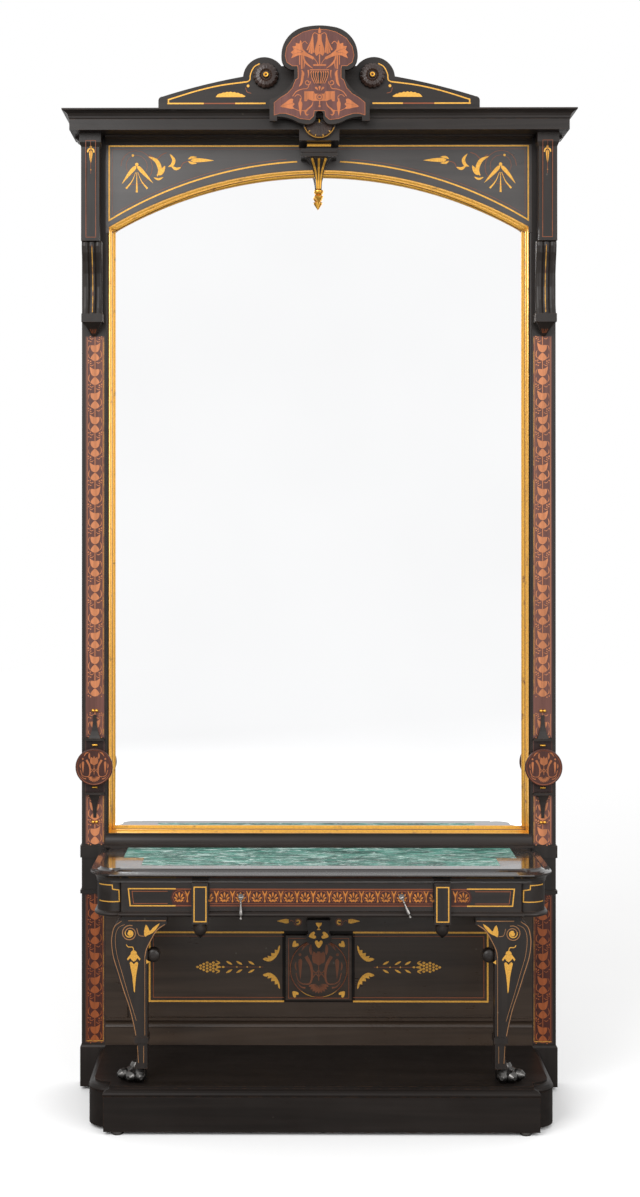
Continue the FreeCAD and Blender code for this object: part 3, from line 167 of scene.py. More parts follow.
def mirrored(points):
    """The points and their mirror images, as one outline about the middle."""
    return list(points) + [(-x, z) for x, z in reversed(points) if x]


class Inlay:
    """Thin pieces of one finish, let into the front of some nodes and just proud of it."""

    def __init__(self, *nodes, proud=GILT_PROUD):
        self.mesh = bmesh.new()
        self.trees = []
        for node in nodes:
            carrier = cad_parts[node]
            spots = [carrier.matrix_world @ v.co for v in carrier.data.vertices]
            faces = [tuple(f.vertices) for f in carrier.data.polygons]
            self.trees.append(BVHTree.FromPolygons(spots, faces))
        self.depth = min(corners(node)[0].y for node in nodes)
        self.proud = proud
        self.count = 0
        self.at()

    def at(self, x=0.0, z=0.0, scale=1.0, turn=0.0, flip=1):
        # Later strokes are drawn about this place, turned anticlockwise, then flipped.
        place = Matrix.Translation((x, z, 0)) @ Matrix.Diagonal((flip, 1, 1, 1))
        self.place = place @ Matrix.Rotation(math.radians(turn), 4, "Z") @ Matrix.Scale(scale, 4)
        return self

    def surface(self, x, z):
        """Depth of the front at a place, or the last one found where no node is behind it."""
        start = Vector((x, -FAR_FRONT, z)) * MM
        hits = [tree.ray_cast(start, Vector((0, 1, 0)))[0] for tree in self.trees]
        depths = [hit.y / MM for hit in hits if hit]
        if depths:
            self.depth = min(depths)
        return self.depth

    def vert(self, point):
        spot = self.place @ Vector((point[0], point[1], 0))
        lift = self.proud + LAYER * (self.count % LAYERS)
        return self.mesh.verts.new((spot.x, self.surface(spot.x, spot.y) - lift, spot.y))

    def line(self, points, width, profile=even, closed=False):
        """A band along the points, mitred at each of them."""
        self.count += 1
        last = len(points) - 1
        pairs = []
        for i, point in enumerate(points):
            here = Vector(point)
            before = Vector(points[i - 1]) if i or closed else here
            after = Vector(points[(i + 1) % len(points)]) if i < last or closed else here
            ways = [w.normalized() for w in (here - before, after - here) if w.length > 1e-6]
            way = sum(ways, Vector((0, 0)))
            way = way.normalized() if way.length > 1e-6 else ways[0]
            across = Vector((-way.y, way.x))
            reach = width / 2 * profile(i / last) / max(0.5, abs(way.dot(ways[0])))
            pairs.append((self.vert(here + across * reach), self.vert(here - across * reach)))
        if closed:
            pairs.append(pairs[0])
        for (a, b), (c, d) in zip(pairs, pairs[1:]):
            self.mesh.faces.new((a, b, d, c))
        return self

    def stroke(self, points, width, profile=leaf, steps=5):
        return self.line(smooth(points, steps), width, profile)

    def patch(self, points, steps=4):
        """A flat shape inside a closed outline, smooth unless it has no steps."""
        self.count += 1
        if steps:
            ring = [points[-1]] + list(points) + [points[0], points[1]]
            points = smooth(ring, steps)[steps:steps * (len(points) + 1)]
        self.mesh.faces.new([self.vert(p) for p in points])
        return self

    def dot(self, x, z, radius, sides=10):
        return self.patch(arc(x, z, radius, 0, 360, sides)[:-1], 0)

    def ring(self, x, z, radius, width, sides=48):
        return self.line(arc(x, z, radius, 0, 360, sides)[:-1], width, closed=True)

    def border(self, x0, x1, z0, z1, width):
        return self.line([(x0, z0), (x0, z1), (x1, z1), (x1, z0)], width, closed=True)

    def ray(self, x, z, angle, near, far, width):
        """A bud that points away from a place."""
        middle = Vector((x, z))
        way = Vector((math.cos(angle), math.sin(angle)))
        return self.stroke([tuple(middle + way * near), tuple(middle + way * far)], width, bud)

    def fan(self, x, z, radius, width, count, start, end, inner=0.25):
        """Buds that spread from one place."""
        for i in range(count):
            angle = math.radians(start + (end - start) * i / (count - 1))
            self.ray(x, z, angle, radius * inner, radius, width)
        return self

    def piece(self, name, material, body="frame"):
        """Sinks the shapes into the wood and makes them one piece of the object."""
        made = bmesh.ops.extrude_face_region(self.mesh, geom=self.mesh.faces[:], use_keep_orig=True)
        sunk = [item for item in made["geom"] if isinstance(item, bmesh.types.BMVert)]
        bmesh.ops.translate(self.mesh, verts=sunk, vec=(0, self.proud + SINK, 0))
        bmesh.ops.triangulate(self.mesh, faces=[f for f in self.mesh.faces if len(f.verts) > 4])
        finished(self.mesh, name, material, body)


def gilt_and_red(*nodes):
    """The gilding of some nodes, and the lower lines beside it."""
    return Inlay(*nodes), Inlay(*nodes, proud=LINE_PROUD)


def at_all(*inks, **place):
    for ink in inks:
        ink.at(**place)


def linked(name, data):
    item = bpy.data.objects.new(name, data)
    bpy.context.scene.collection.objects.link(item)
    return item


def made_of(mesh, name, material):
    """An object in the scene, made of a mesh and one material."""
    data = bpy.data.meshes.new(name)
    mesh.to_mesh(data)
    mesh.free()
    data.materials.append(material)
    return linked(name, data)


def finished(mesh, name, material, body="frame"):
    """Makes a mesh that was drawn in millimetres into a piece that rides on a body."""
    bmesh.ops.recalc_face_normals(mesh, faces=mesh.faces)
    bmesh.ops.scale(mesh, vec=(MM, MM, MM), verts=mesh.verts)
    piece = made_of(mesh, name, finish(material))
    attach(piece, body)


# Finishes

# The ranges that a noise mostly fills, as shares
MIDTONES = (0.3, 0.7)
HIGH_TONES = (0.35, 0.7)
EFFECTS = {}


class Board:
    """A node tree with short ways to add and join its nodes."""

    def __init__(self, tree):
        self.tree = tree

    def join(self, value, node, socket):
        self.tree.links.new(value, node.inputs[socket])

    def node(self, kind, inputs=(), **settings):
        made = self.tree.nodes.new(kind)
        for key, value in settings.items():
            setattr(made, key, value)
        for key, value in dict(inputs).items():
            if isinstance(value, bpy.types.NodeSocket):
                self.join(value, made, key)
            else:
                made.inputs[key].default_value = value
        return made

    def noise(self, vector, scale, detail=3.0, roughness=0.5, distortion=0.0):
        inputs = {"Vector": vector, "Scale": scale, "Detail": detail, "Roughness": roughness}
        return self.node("ShaderNodeTexNoise", {**inputs, "Distortion": distortion}).outputs["Fac"]

    def spread(self, value, low, high, start=0.0, end=1.0):
        """The value, stretched so that low and high become start and end."""
        inputs = {"Value": value, "From Min": low, "From Max": high, "To Min": start, "To Max": end}
        return self.node("ShaderNodeMapRange", inputs).outputs["Result"]

    def math(self, operation, a, b):
        return self.node("ShaderNodeMath", {0: a, 1: b}, operation=operation).outputs[0]

    def blend(self, share, a, b):
        return self.node("ShaderNodeMix", {0: share, 6: a, 7: b}, data_type="RGBA").outputs[2]

    def stretched(self, vector, scale):
        return self.node("ShaderNodeMapping", {"Vector": vector, "Scale": scale}).outputs["Vector"]

    def effect(self, maker, **inputs):
        """The outputs of an effect, which is made the first time that it is asked for."""
        if maker not in EFFECTS:
            EFFECTS[maker] = maker()
        return self.node("ShaderNodeGroup", inputs, node_tree=EFFECTS[maker]).outputs

    def bump(self, shader, height, strength, distance):
        inputs = {"Height": height, "Strength": strength, "Distance": distance}
        self.join(self.node("ShaderNodeBump", inputs).outputs[0], shader, "Normal")


def new_effect(name, inputs, *outputs):
    """An empty node group with its sockets, and the board to fill it on."""
    tree = bpy.data.node_groups.new(name, "ShaderNodeTree")
    tree.interface.new_socket("Vector", in_out="INPUT", socket_type="NodeSocketVector")
    for label, value in inputs.items():
        socket = tree.interface.new_socket(label, in_out="INPUT", socket_type="NodeSocketFloat")
        socket.default_value = value
    for label in outputs:
        tree.interface.new_socket(label, in_out="OUTPUT", socket_type="NodeSocketFloat")
    board = Board(tree)
    return board, board.node("NodeGroupInput").outputs, board.node("NodeGroupOutput")


def edge_wear():
    """Mask that is bright where an edge has been rubbed."""
    board, given, result = new_effect("Edge wear", {"Radius": 0.002, "Scale": 60.0}, "Mask")
    bevel = board.node("ShaderNodeBevel", {"Radius": given["Radius"]}, samples=4)
    plain = board.node("ShaderNodeNewGeometry").outputs["Normal"]
    facing = board.node("ShaderNodeVectorMath", {0: bevel.outputs[0], 1: plain}, operation="DOT_PRODUCT")
    edge = board.spread(facing.outputs["Value"], 0.995, 0.80)
    patchy = board.spread(board.noise(given["Vector"], given["Scale"], 4.0, 0.6), 0.42, 0.62)
    board.join(board.math("MULTIPLY", edge, patchy), result, "Mask")
    return board.tree


def wood_grain():
    """Fine pores drawn out along the grain, with slow changes of tone."""
    board, given, result = new_effect("Wood grain", {"Scale": 220.0}, "Pores", "Tone")
    pores = board.noise(given["Vector"], given["Scale"], 4.0, 0.65, 0.3)
    wide = board.math("MULTIPLY", given["Scale"], 0.12)
    board.join(board.spread(pores, *HIGH_TONES), result, "Pores")
    board.join(board.noise(given["Vector"], wide, 3.0, 0.55, 0.8), result, "Tone")
    return board.tree


def specks():
    """Sparse small marks, as dust and knocks leave."""
    board, given, result = new_effect("Specks", {"Scale": 90.0, "Share": 0.1}, "Mask")
    cells = board.node("ShaderNodeTexVoronoi", {"Vector": given["Vector"], "Scale": given["Scale"]})
    rare = board.node("ShaderNodeSeparateColor", {"Color": cells.outputs["Color"]}).outputs[0]
    near = board.spread(cells.outputs["Distance"], 0.16, 0.04)
    chosen = board.math("LESS_THAN", rare, given["Share"])
    board.join(board.math("MULTIPLY", near, chosen), result, "Mask")
    return board.tree


def new_finish(name):
    """A board with a joined shader, and the coordinates of the object that it covers."""
    material = bpy.data.materials.new(name)
    material.use_nodes = True
    material.node_tree.nodes.clear()
    board = Board(material.node_tree)
    shader = board.node("ShaderNodeBsdfPrincipled")
    board.join(shader.outputs[0], board.node("ShaderNodeOutputMaterial"), 0)
    return board, shader, board.node("ShaderNodeTexCoord").outputs["Object"]


def shade(label, share=1.0):
    """A colour of the settings, made darker or lighter."""
    look = getattr(bpy.context.scene.mirror_finishes, label)
    return tuple(min(1.0, part * share) for part in look) + (1.0,)


def ebonised(name, along, gloss, depth=1.0, sheen=0.30, stain="ebony"):
    """Black-stained wood under a thin polish, rubbed brown at its edges."""
    board, shader, where = new_finish(name)
    grain = board.effect(wood_grain, Vector=board.stretched(where, along))
    worn = board.effect(edge_wear, Vector=where, Radius=0.0022)["Mask"]
    marks = board.effect(specks, Vector=where, Scale=46.0, Share=0.02)["Mask"]
    tone = board.spread(grain["Tone"], *MIDTONES)
    stained = board.blend(tone, shade(stain, depth), shade(stain, depth * 1.9))
    rubbed = board.blend(board.math("MULTIPLY", worn, 0.6), stained, shade("rubbed_wood"))
    flecked = board.blend(board.math("MULTIPLY", marks, 0.7), rubbed, shade("speck"))
    cloudy = board.spread(board.noise(where, 9.0, 4.0, 0.6), *MIDTONES, gloss - 0.05, gloss + 0.09)
    board.join(flecked, shader, "Base Color")
    dull_pores = board.math("MULTIPLY", grain["Pores"], 0.05)
    board.join(board.math("ADD", cloudy, dull_pores), shader, "Roughness")
    board.bump(shader, grain["Pores"], 0.18, 0.0002)
    shader.inputs["Specular IOR Level"].default_value = sheen
    return shader


def french_polished(name):
    """Ebonised wood under a deep clear polish."""
    shader = ebonised(name, CROSS_GRAIN, 0.10, 0.8, 0.6)
    shader.inputs["Coat Weight"].default_value = 0.45
    shader.inputs["Coat Roughness"].default_value = 0.04
    shader.inputs["Coat IOR"].default_value = 1.6


def gilded(name, wear, gloss, depth=1.0, shine=0.9):
    """Burnished gold leaf, rubbed through to its red ground in places."""
    board, shader, where = new_finish(name)
    clouds = board.noise(where, 34.0, 5.0, 0.62)
    fine = board.noise(where, 260.0, 3.0, 0.6)
    leafed = board.blend(board.spread(fine, *HIGH_TONES), shade("gold", depth), shade("gold", depth * 0.7))
    rubbed = board.spread(clouds, 0.70 - 0.16 * wear, 0.82 - 0.14 * wear)
    edge = board.effect(edge_wear, Vector=where, Radius=0.0009, Scale=45.0)["Mask"]
    lost = board.math("MAXIMUM", rubbed, board.math("MULTIPLY", edge, 0.5 * wear))
    board.join(board.blend(lost, leafed, shade("bole")), shader, "Base Color")
    board.join(board.spread(lost, 0.0, 1.0, shine, shine / 3), shader, "Metallic")
    board.join(board.spread(fine, *MIDTONES, gloss, gloss + 0.14), shader, "Roughness")
    board.bump(shader, clouds, 0.12, 0.0003)


def veneer(name, colour, along, scale=160.0, streak=0.45):
    """A sheet of coloured wood under polish, with its own figure."""
    board, shader, where = new_finish(name)
    grain = board.effect(wood_grain, Vector=board.stretched(where, along), Scale=scale)
    toned = board.blend(board.spread(grain["Tone"], 0.3, 0.72), shade(colour), shade(colour, 0.55))
    streaked = board.blend(board.math("MULTIPLY", grain["Pores"], streak), toned, shade(colour, 0.3))
    board.join(streaked, shader, "Base Color")
    board.join(board.spread(board.noise(where, 14.0), *MIDTONES, 0.34, 0.5), shader, "Roughness")
    board.bump(shader, grain["Pores"], 0.12, 0.0002)
    shader.inputs["Specular IOR Level"].default_value = 0.3


def silvered_glass(name):
    """Plate glass over silver, with faint clouds in the silvering."""
    board, shader, where = new_finish(name)
    clouds = board.spread(board.noise(where, 1.6, 3.0, 0.5), *HIGH_TONES)
    board.join(board.blend(clouds, shade("glass"), shade("glass", 0.975)), shader, "Base Color")
    shader.inputs["Metallic"].default_value = 1.0
    shader.inputs["Roughness"].default_value = 0.0


def green_marble(name):
    """Sea-green marble with white clouds and streaks drawn out sideways."""
    board, shader, where = new_finish(name)
    warp = board.noise(board.stretched(where, (2.6, 9.0, 9.0)), 2.2, 7.0, 0.70, 1.8)
    streaks = board.noise(board.stretched(where, (3.4, 20.0, 20.0)), 3.0, 10.0, 0.78, 2.6)
    fine = board.noise(board.stretched(where, (10.0, 60.0, 60.0)), 5.0, 6.0, 0.75, 1.2)
    deep = board.blend(board.spread(warp, 0.42, 0.58), shade("marble", 0.12), shade("marble"))
    mottled = board.blend(board.spread(fine, 0.48, 0.72, 0.0, 0.75), deep, shade("marble", 2.4))
    veined = board.blend(board.spread(streaks, 0.53, 0.60), mottled, shade("marble_vein"))
    board.join(veined, shader, "Base Color")
    board.join(board.spread(streaks, *MIDTONES, 0.42, 0.55), shader, "Roughness")
    shader.inputs["Specular IOR Level"].default_value = 0.10


def metal(name, colour, gloss, depth=1.0):
    """Cast metal, unevenly darker in random patches and brighter where its edges are rubbed."""
    board, shader, where = new_finish(name)
    clouds = board.noise(where, 120.0, 4.0, 0.6)
    worn = board.effect(edge_wear, Vector=where, Radius=0.0008, Scale=150.0)["Mask"]
    toned = board.blend(board.spread(clouds, *HIGH_TONES), shade(colour, depth), shade(colour, depth * 0.5))
    board.join(board.blend(worn, toned, shade(colour, depth * 1.6)), shader, "Base Color")
    board.join(board.spread(clouds, *MIDTONES, gloss, gloss + 0.16), shader, "Roughness")
    shader.inputs["Metallic"].default_value = 1.0
    board.bump(shader, clouds, 0.3, 0.0006)


def bare_wood(name, along):
    """Plain sawn wood that polish never reached."""
    board, shader, where = new_finish(name)
    grain = board.effect(wood_grain, Vector=board.stretched(where, along), Scale=90.0)
    toned = board.blend(board.spread(grain["Tone"], *MIDTONES), shade("bare_wood"), shade("bare_wood", 0.6))
    streaked = board.blend(board.math("MULTIPLY", grain["Pores"], 0.4), toned, shade("bare_wood", 0.3))
    board.join(streaked, shader, "Base Color")
    board.join(board.spread(grain["Tone"], *MIDTONES, 0.62, 0.8), shader, "Roughness")
    board.bump(shader, grain["Pores"], 0.4, 0.0004)


UPRIGHT_GRAIN = (1.0, 1.0, 0.05)
CROSS_GRAIN = (0.05, 1.0, 1.0)
DEPTH_GRAIN = (1.0, 0.05, 1.0)
FINE_FIGURE = (UPRIGHT_GRAIN, 220.0, 0.3)

FINISHES = {
    "ebony_upright": (ebonised, UPRIGHT_GRAIN, 0.34),
    "ebony_cross": (ebonised, CROSS_GRAIN, 0.34),
    "ebony_polished": (french_polished,),
    # Browner ebony for the back panel and the plaque, also lighter than the rest as painted light on wood
    # that the table shades.
    "ebony_panel": (ebonised, CROSS_GRAIN, 0.30, 0.75, 0.35, "panel"),
    # Painted shade: a darker copy of the ebony for parts under the table, its base colour lowered; the low
    # specular level is a real polish setting.
    "ebony_platform": (ebonised, CROSS_GRAIN, 0.36, 0.6, 0.12),
    # Painted shade: a darker copy of the ebony for the base, its base colour lowered to take back the
    # brightness of the low light.
    "ebony_base": (ebonised, CROSS_GRAIN, 0.34, 0.75, 0.2),
    # Painted glare: a lighter copy of the ebony for the arched head, its base colour raised to stand in for
    # sheen; the higher specular level is a real polish setting.
    "ebony_bright": (ebonised, CROSS_GRAIN, 0.32, 1.3, 0.75),
    "carved_wood": (ebonised, UPRIGHT_GRAIN, 0.24, 1.0, 0.5, "carved"),
    "gilding": (gilded, 0.55, 0.3),
    "gilt_line": (gilded, 0.1, 0.42, 0.88, 0.45),
    "worn_gilt": (gilded, 1.5, 0.42, 0.75, 0.45),
    # Painted shade in the colour of the bole, for the quirks of the gilt slip.
    "bole_line": (veneer, "bole", CROSS_GRAIN),
    "red_line": (veneer, "red_line", CROSS_GRAIN),
    "stringing": (veneer, "stringing", UPRIGHT_GRAIN),
    "veneer_ground": (veneer, "veneer", UPRIGHT_GRAIN),
    "band_ground": (veneer, "band", CROSS_GRAIN),
    "plain_ground": (veneer, "plain", UPRIGHT_GRAIN),
    "crest_ground": (veneer, "crest", UPRIGHT_GRAIN),
    "low_ground": (veneer, "low_veneer", UPRIGHT_GRAIN),
    "roundel_ground": (veneer, "roundel", UPRIGHT_GRAIN),
    "veneer_figure": (veneer, "figure", *FINE_FIGURE),
    "strip_figure": (veneer, "strip_figure", *FINE_FIGURE),
    "low_figure": (veneer, "low_figure", *FINE_FIGURE),
    "palmette_figure": (veneer, "palmette", *FINE_FIGURE),
    "roundel_figure": (veneer, "roundel_figure", *FINE_FIGURE),
    "plaque_figure": (veneer, "plaque_figure", *FINE_FIGURE),
    "silvered_glass": (silvered_glass,),
    "green_marble": (green_marble,),
    "steel": (metal, "steel", 0.26),
    "dark_silver": (metal, "paw_metal", 0.24),
    "glide_metal": (metal, "steel", 0.4, 0.4),
    "back_wood": (bare_wood, UPRIGHT_GRAIN),
    "drawer_wood": (bare_wood, DEPTH_GRAIN),
}

NODE_FINISHES = {
    "ebony_upright": [
        *both("pilaster"), "upper_piers", *both("scroll_bracket"), "bracket_drops", "roundel_supports",
        "shoulder_blocks", "plinth_blocks", *both("leg"), "apron_blocks", "block_pendants",
    ],
    # The arched head carries painted glare, a lighter ebony.
    "ebony_bright": ["arched_head"],
    "ebony_cross": [
        "sill_rail", "cornice_fascia", "cornice_crown", "bed_mould", *both("pediment"), "crest_top",
        "crest_body", "keystone", *both("apron_end"), "drawer_rail", "drawer_front", "trefoil", "leg_bosses",
    ],
    "ebony_polished": ["table_top"],
    # The back panel and the plaque carry browner ebony, lightened as painted light.
    "ebony_panel": ["back_panel", "plaque"],
    # The platform under the table carries painted shade, a darker ebony.
    "ebony_platform": ["platform"],
    # The base carries painted shade, a darker ebony.
    "ebony_base": ["base_front", *both("base_corner")],
    "carved_wood": ["pediment_rosettes", "shell"],
    "veneer_ground": both("marquetry_strip"),
    "roundel_ground": both("roundel"),
    "gilding": [*both("gilt_slip"), "gilt_slip_sill", "gilt_slip_arch", "gilt_beads", "arrow_pendant"],
    "silvered_glass": ["mirror_plate"],
    "green_marble": ["marble"],
    "steel": [*both("pull_eye"), *both("pull_drop")],
    "dark_silver": both("paw"),
    "back_wood": ["backboards"],
    "drawer_wood": ["drawer_box", "drawer_runners"],
    "glide_metal": ["glides"],
}


def finish(name):
    """The named finish, made the first time that it is asked for."""
    if name not in bpy.data.materials:
        make, *settings = FINISHES[name]
        make(name, *settings)
    return bpy.data.materials[name]


def finish_nodes():
    for name, nodes in NODE_FINISHES.items():
        for node in nodes:
            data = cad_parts[node].data
            data.materials.clear()
            data.materials.append(finish(name))


# Head: gilt frames that follow the arch, with a flower and buds at each corner

HEAD_FRAME_TOP = 2731.0
HEAD_FRAME_HALF = 607.0
HEAD_ARCH_END = 62.0
HEAD_THREAD_END = 93.0
HEAD_BAR_END = 46.0
HEAD_ARCH_CROWN = 2687.0
HEAD_ARCH_FOOT = 2516.0
LINE_GAP = 9.0


def arch_points(half, foot, crown, gap, x0, x1, steps=28):
    """Points on a low arch of the given half width, foot and crown, moved out by a gap."""
    rise = crown - foot
    radius = (half ** 2 + rise ** 2) / (2 * rise)
    spots = [x0 + (x1 - x0) * i / steps for i in range(steps + 1)]
    return [(x, crown - radius + math.sqrt((radius + gap) ** 2 - x ** 2)) for x in spots]


def head_frame(ink, inset, end, width):
    top = HEAD_FRAME_TOP - inset
    side = HEAD_FRAME_HALF - inset
    arch = arch_points(HEAD_FRAME_HALF, HEAD_ARCH_FOOT, HEAD_ARCH_CROWN, inset, side, end)
    ink.line([(HEAD_BAR_END, top), (side, top)] + arch, width)


def arrow_bud(ink, x, z, length):
    """A bud with two sepals that ends in a long point."""
    ink.stroke([(x + length * 0.1, z), (x + length * 0.55, z), (x + length, z - 1)], length * 0.16, drop)
    for up in SIDES:
        sepal = [(0, 3), (length * 0.14, length * 0.11), (length * 0.34, length * 0.12)]
        ink.stroke([(x + across, z + up * high) for across, high in sepal], length * 0.09, leaf)


def head_flower(gilt, red):
    """A scroll with a drooping flower, two leaves and an arrow bud, from the corner inward."""
    red.line(spiral(-531, 2672, 54, 42, 0.80, 250), HAIR_LINE)
    red.line(spiral(-529, 2674, 33, 27, 0.9, -30), THREAD)
    red.stroke([(-490, 2706), (-470, 2694), (-455, 2706), (-440, 2712)], FINE_LINE, even)
    red.stroke([(-400, 2668), (-392, 2682), (-372, 2688)], FINE_LINE, even)
    gilt.dot(-538.5, 2704, 3.6)
    gilt.dot(-527, 2678, 5.0)
    gilt.stroke([(-528, 2674), (-548, 2652), (-570, 2622)], 11, drop)
    gilt.stroke([(-526, 2674), (-506, 2652), (-480, 2624)], 11, drop)
    gilt.stroke([(-530, 2655), (-541, 2629), (-558, 2608)], 5.2, flare)
    gilt.stroke([(-527, 2655), (-527, 2626), (-527, 2597)], 6.0, flare)
    gilt.stroke([(-524, 2655), (-513, 2629), (-496, 2608)], 5.2, flare)
    gilt.stroke([(-493, 2701), (-470, 2688), (-460, 2664), (-468, 2643)], 12, leaf)
    gilt.stroke([(-470, 2647), (-457, 2652), (-445, 2674)], 11, bud)
    gilt.stroke([(-478, 2640), (-464, 2635), (-450, 2641)], 6, leaf)
    gilt.stroke([(-431, 2708), (-420, 2692), (-424, 2677), (-436, 2671)], 10, leaf)
    gilt.stroke([(-428, 2674), (-414, 2665), (-399, 2669)], 8, leaf)
    arrow_bud(gilt, -378, 2690, 74)


def inlay_head():
    gilt, red = gilt_and_red("arched_head")
    for side in SIDES:
        at_all(gilt, red, flip=-side)
        head_flower(gilt, red)
        at_all(gilt, red, flip=side)
        head_frame(gilt, 0, HEAD_ARCH_END, GILT_LINE)
        head_frame(red, LINE_GAP, HEAD_THREAD_END, THREAD)
    gilt.piece("head_gilt", "gilt_line")
    red.piece("head_lines", "red_line")


# Upper piers, their scroll brackets and drops, and the quirks of the gilt slip

PIER_X = 654.0
PIER_LINE_HALF = 14.0
PIER_LINE_TOP = 2734.0
PIER_LINE_FOOT = 2458.0
PIER_STEM_FOOT = 2640.0
SCROLL_LINE_X = 651.0
SCROLL_LINE_TOP = 2436.0
SCROLL_LINE_FOOT = 2244.0
SCROLL_LINE_STEPS = 30
DROP_LINES_ACROSS = (-14, -5, 5, 14)
SLIP_QUIRK = 8.0
SLIP_SIDE_STEPS = 20
SLIP_LONG_STEPS = 40


def pier_drop(gilt):
    gilt.dot(0, 2717, 3)
    gilt.stroke([(-9, 2701), (-7, 2709), (0, 2712), (7, 2709), (9, 2701)], 4, even)
    gilt.stroke([(0, 2708), (0, 2690), (0, 2668)], 9, drop)
    gilt.dot(0, 2651, 1.6)


def inlay_piers():
    gilt, red = gilt_and_red("upper_piers")
    for side in SIDES:
        at_all(gilt, red, x=side * PIER_X)
        red.border(-PIER_LINE_HALF, PIER_LINE_HALF, PIER_LINE_FOOT, PIER_LINE_TOP, FINE_LINE)
        red.line([(0, PIER_LINE_TOP), (0, PIER_STEM_FOOT)], FINE_LINE * 0.7)
        pier_drop(gilt)
    gilt.piece("pier_gilt", "gilt_line")
    red.piece("pier_lines", "red_line")


def line_brackets():
    """A worn gilt line down each scroll, and lines that draw together down each drop."""
    for side, node in zip(SIDES, both("scroll_bracket")):
        x = side * SCROLL_LINE_X
        run = straight((x, SCROLL_LINE_TOP), (x, SCROLL_LINE_FOOT), SCROLL_LINE_STEPS)
        Inlay(node).line(run, LIP_LINE).piece(f"{node}_gilt", "worn_gilt")
    low, high = corners("bracket_drops")
    head, waist, tip = high.z - 12, low.z + 18, low.z + 8
    drops = Inlay("bracket_drops", proud=LINE_PROUD)
    for side in SIDES:
        drops.at(x=side * SCROLL_LINE_X)
        for across in DROP_LINES_ACROSS:
            drops.line([(across, head), (across * 0.6, waist), (across * 0.3, tip)], FINE_LINE)
    drops.piece("drop_lines", "red_line")


def line_slip():
    """Painted shade: dark lines in the quirks between the reeds of the gilt slip, where the grooves fall
    into shadow.
    """
    low, high = corners("gilt_slip_arch")
    foot = corners("gilt_slip_sill")[0].z + SLIP_QUIRK
    half = high.x - SLIP_QUIRK
    ink = Inlay(*both("gilt_slip"), "gilt_slip_arch", "gilt_slip_sill", proud=LINE_PROUD)
    for side in SIDES:
        ink.at(flip=side)
        ink.line(straight((half, foot), (half, low.z), SLIP_SIDE_STEPS), REED_LINE)
        ink.line(arch_points(high.x, low.z, high.z, -SLIP_QUIRK, 0, half, SLIP_LONG_STEPS), REED_LINE)
    ink.at().line(straight((-half, foot), (half, foot), SLIP_LONG_STEPS), REED_LINE)
    ink.piece("slip_quirks", "bole_line")


# Crest: an urn of flowers in light veneer on a red-brown ground

CREST_BORDER = (
    (0, 3031), (20, 3030), (47, 3023), (75, 3006), (92, 2982), (97, 2957), (92, 2938), (77, 2928),
    (62, 2928), (60.5, 2918), (60.5, 2893), (68, 2888), (76, 2866), (91, 2850), (111, 2838), (128, 2824),
    (128, 2789), (112, 2794), (96, 2794), (76, 2788), (54, 2779), (28, 2776), (17, 2786), (15, 2801),
    (0, 2802),
)
CREST_BOWL = ((0, 2913), (28, 2913), (26, 2897), (16, 2882), (0, 2874))


def crest_flowers(ink):
    """The right half of the spray that fills the lobe."""
    ink.stroke([(1, 3016), (5, 3017), (14, 3021), (20, 3014)], 2, even)
    for reach, height in ((17, 2965), (23, 2962), (29, 2965), (35, 2972)):
        ink.stroke([(19, 3018), (19 + (reach - 19) * 0.35, 2996), (reach, height)], 5.2, flare)
    ink.patch([
        (18, 2953), (20, 2947), (34, 2953), (48, 2957), (62, 2957), (80, 2949), (75, 2960), (81, 2966),
        (73, 2973), (77, 2983), (67, 2984), (67, 2993), (57, 2990), (54, 3001), (49, 2989), (47, 2975),
        (34, 2963), (24, 2957),
    ], 2)
    ink.stroke([(34, 2990), (42, 2997), (50, 2990)], 2, even)
    ink.dot(19, 2950, 4.2)
    ink.stroke([(17, 2950), (10, 2942), (5, 2933)], FINE_LINE, even)
    ink.stroke([(47, 2961), (43, 2944), (34, 2932), (18, 2920)], 5, leaf)
    ink.stroke([(44, 2957), (43, 2935), (45, 2919)], 3, leaf)
    ink.line([(56, 2957), (56, 2931)], EDGE_LINE)
    ink.line([(50, 2957), (50, 2919)], GILT_LINE)


def crest_urn(ink):
    """The right half of the urn, its ribbons, scrolls and lying buds."""
    ink.stroke([(49, 2917), (48, 2900), (51, 2880), (58, 2869)], 7, leaf)
    ink.stroke([(51, 2917), (46, 2906), (47, 2894)], 6, leaf)
    ink.stroke([(32, 2916), (31, 2904), (33, 2893)], 4.5, taper)
    for top, low in ((25, 14), (18.5, 9), (12, 5), (5, 2)):
        ink.stroke([(top, 2912), (low + (top - low) * 0.75, 2896), (low, 2878)], EDGE_LINE, even)
        ink.stroke([(top - 3, 2913), (top, 2908)], 3, even)
    ink.line(spiral(34, 2881, 8.5, 3.5, 1.1, 160), LIP_LINE)
    ink.stroke([(30, 2873), (35, 2864), (50, 2862), (66, 2855), (76, 2842)], 2.0, even)
    ink.line(arc(61, 2837, 9.5, 20, 250), FINE_LINE)
    ink.patch([
        (111, 2813), (97, 2824), (82, 2835), (74, 2833), (76, 2825), (70, 2820), (76, 2814), (71, 2807),
        (84, 2807), (97, 2810),
    ], 2)
    ink.line([(54, 2836), (54, 2824)], 4)
    ink.stroke([(54, 2829), (54, 2812), (54, 2787)], 11, drop)
    ink.stroke([(71, 2807), (56, 2801), (38, 2803)], FINE_LINE, even)
    ink.stroke([(18, 2829), (22, 2816), (34, 2805), (40, 2796), (36, 2789), (30, 2792)], 4.6, leaf)
    ink.dot(41, 2800, 3)
    ink.stroke([(3, 2857), (8, 2864), (13, 2868)], 6, bud)


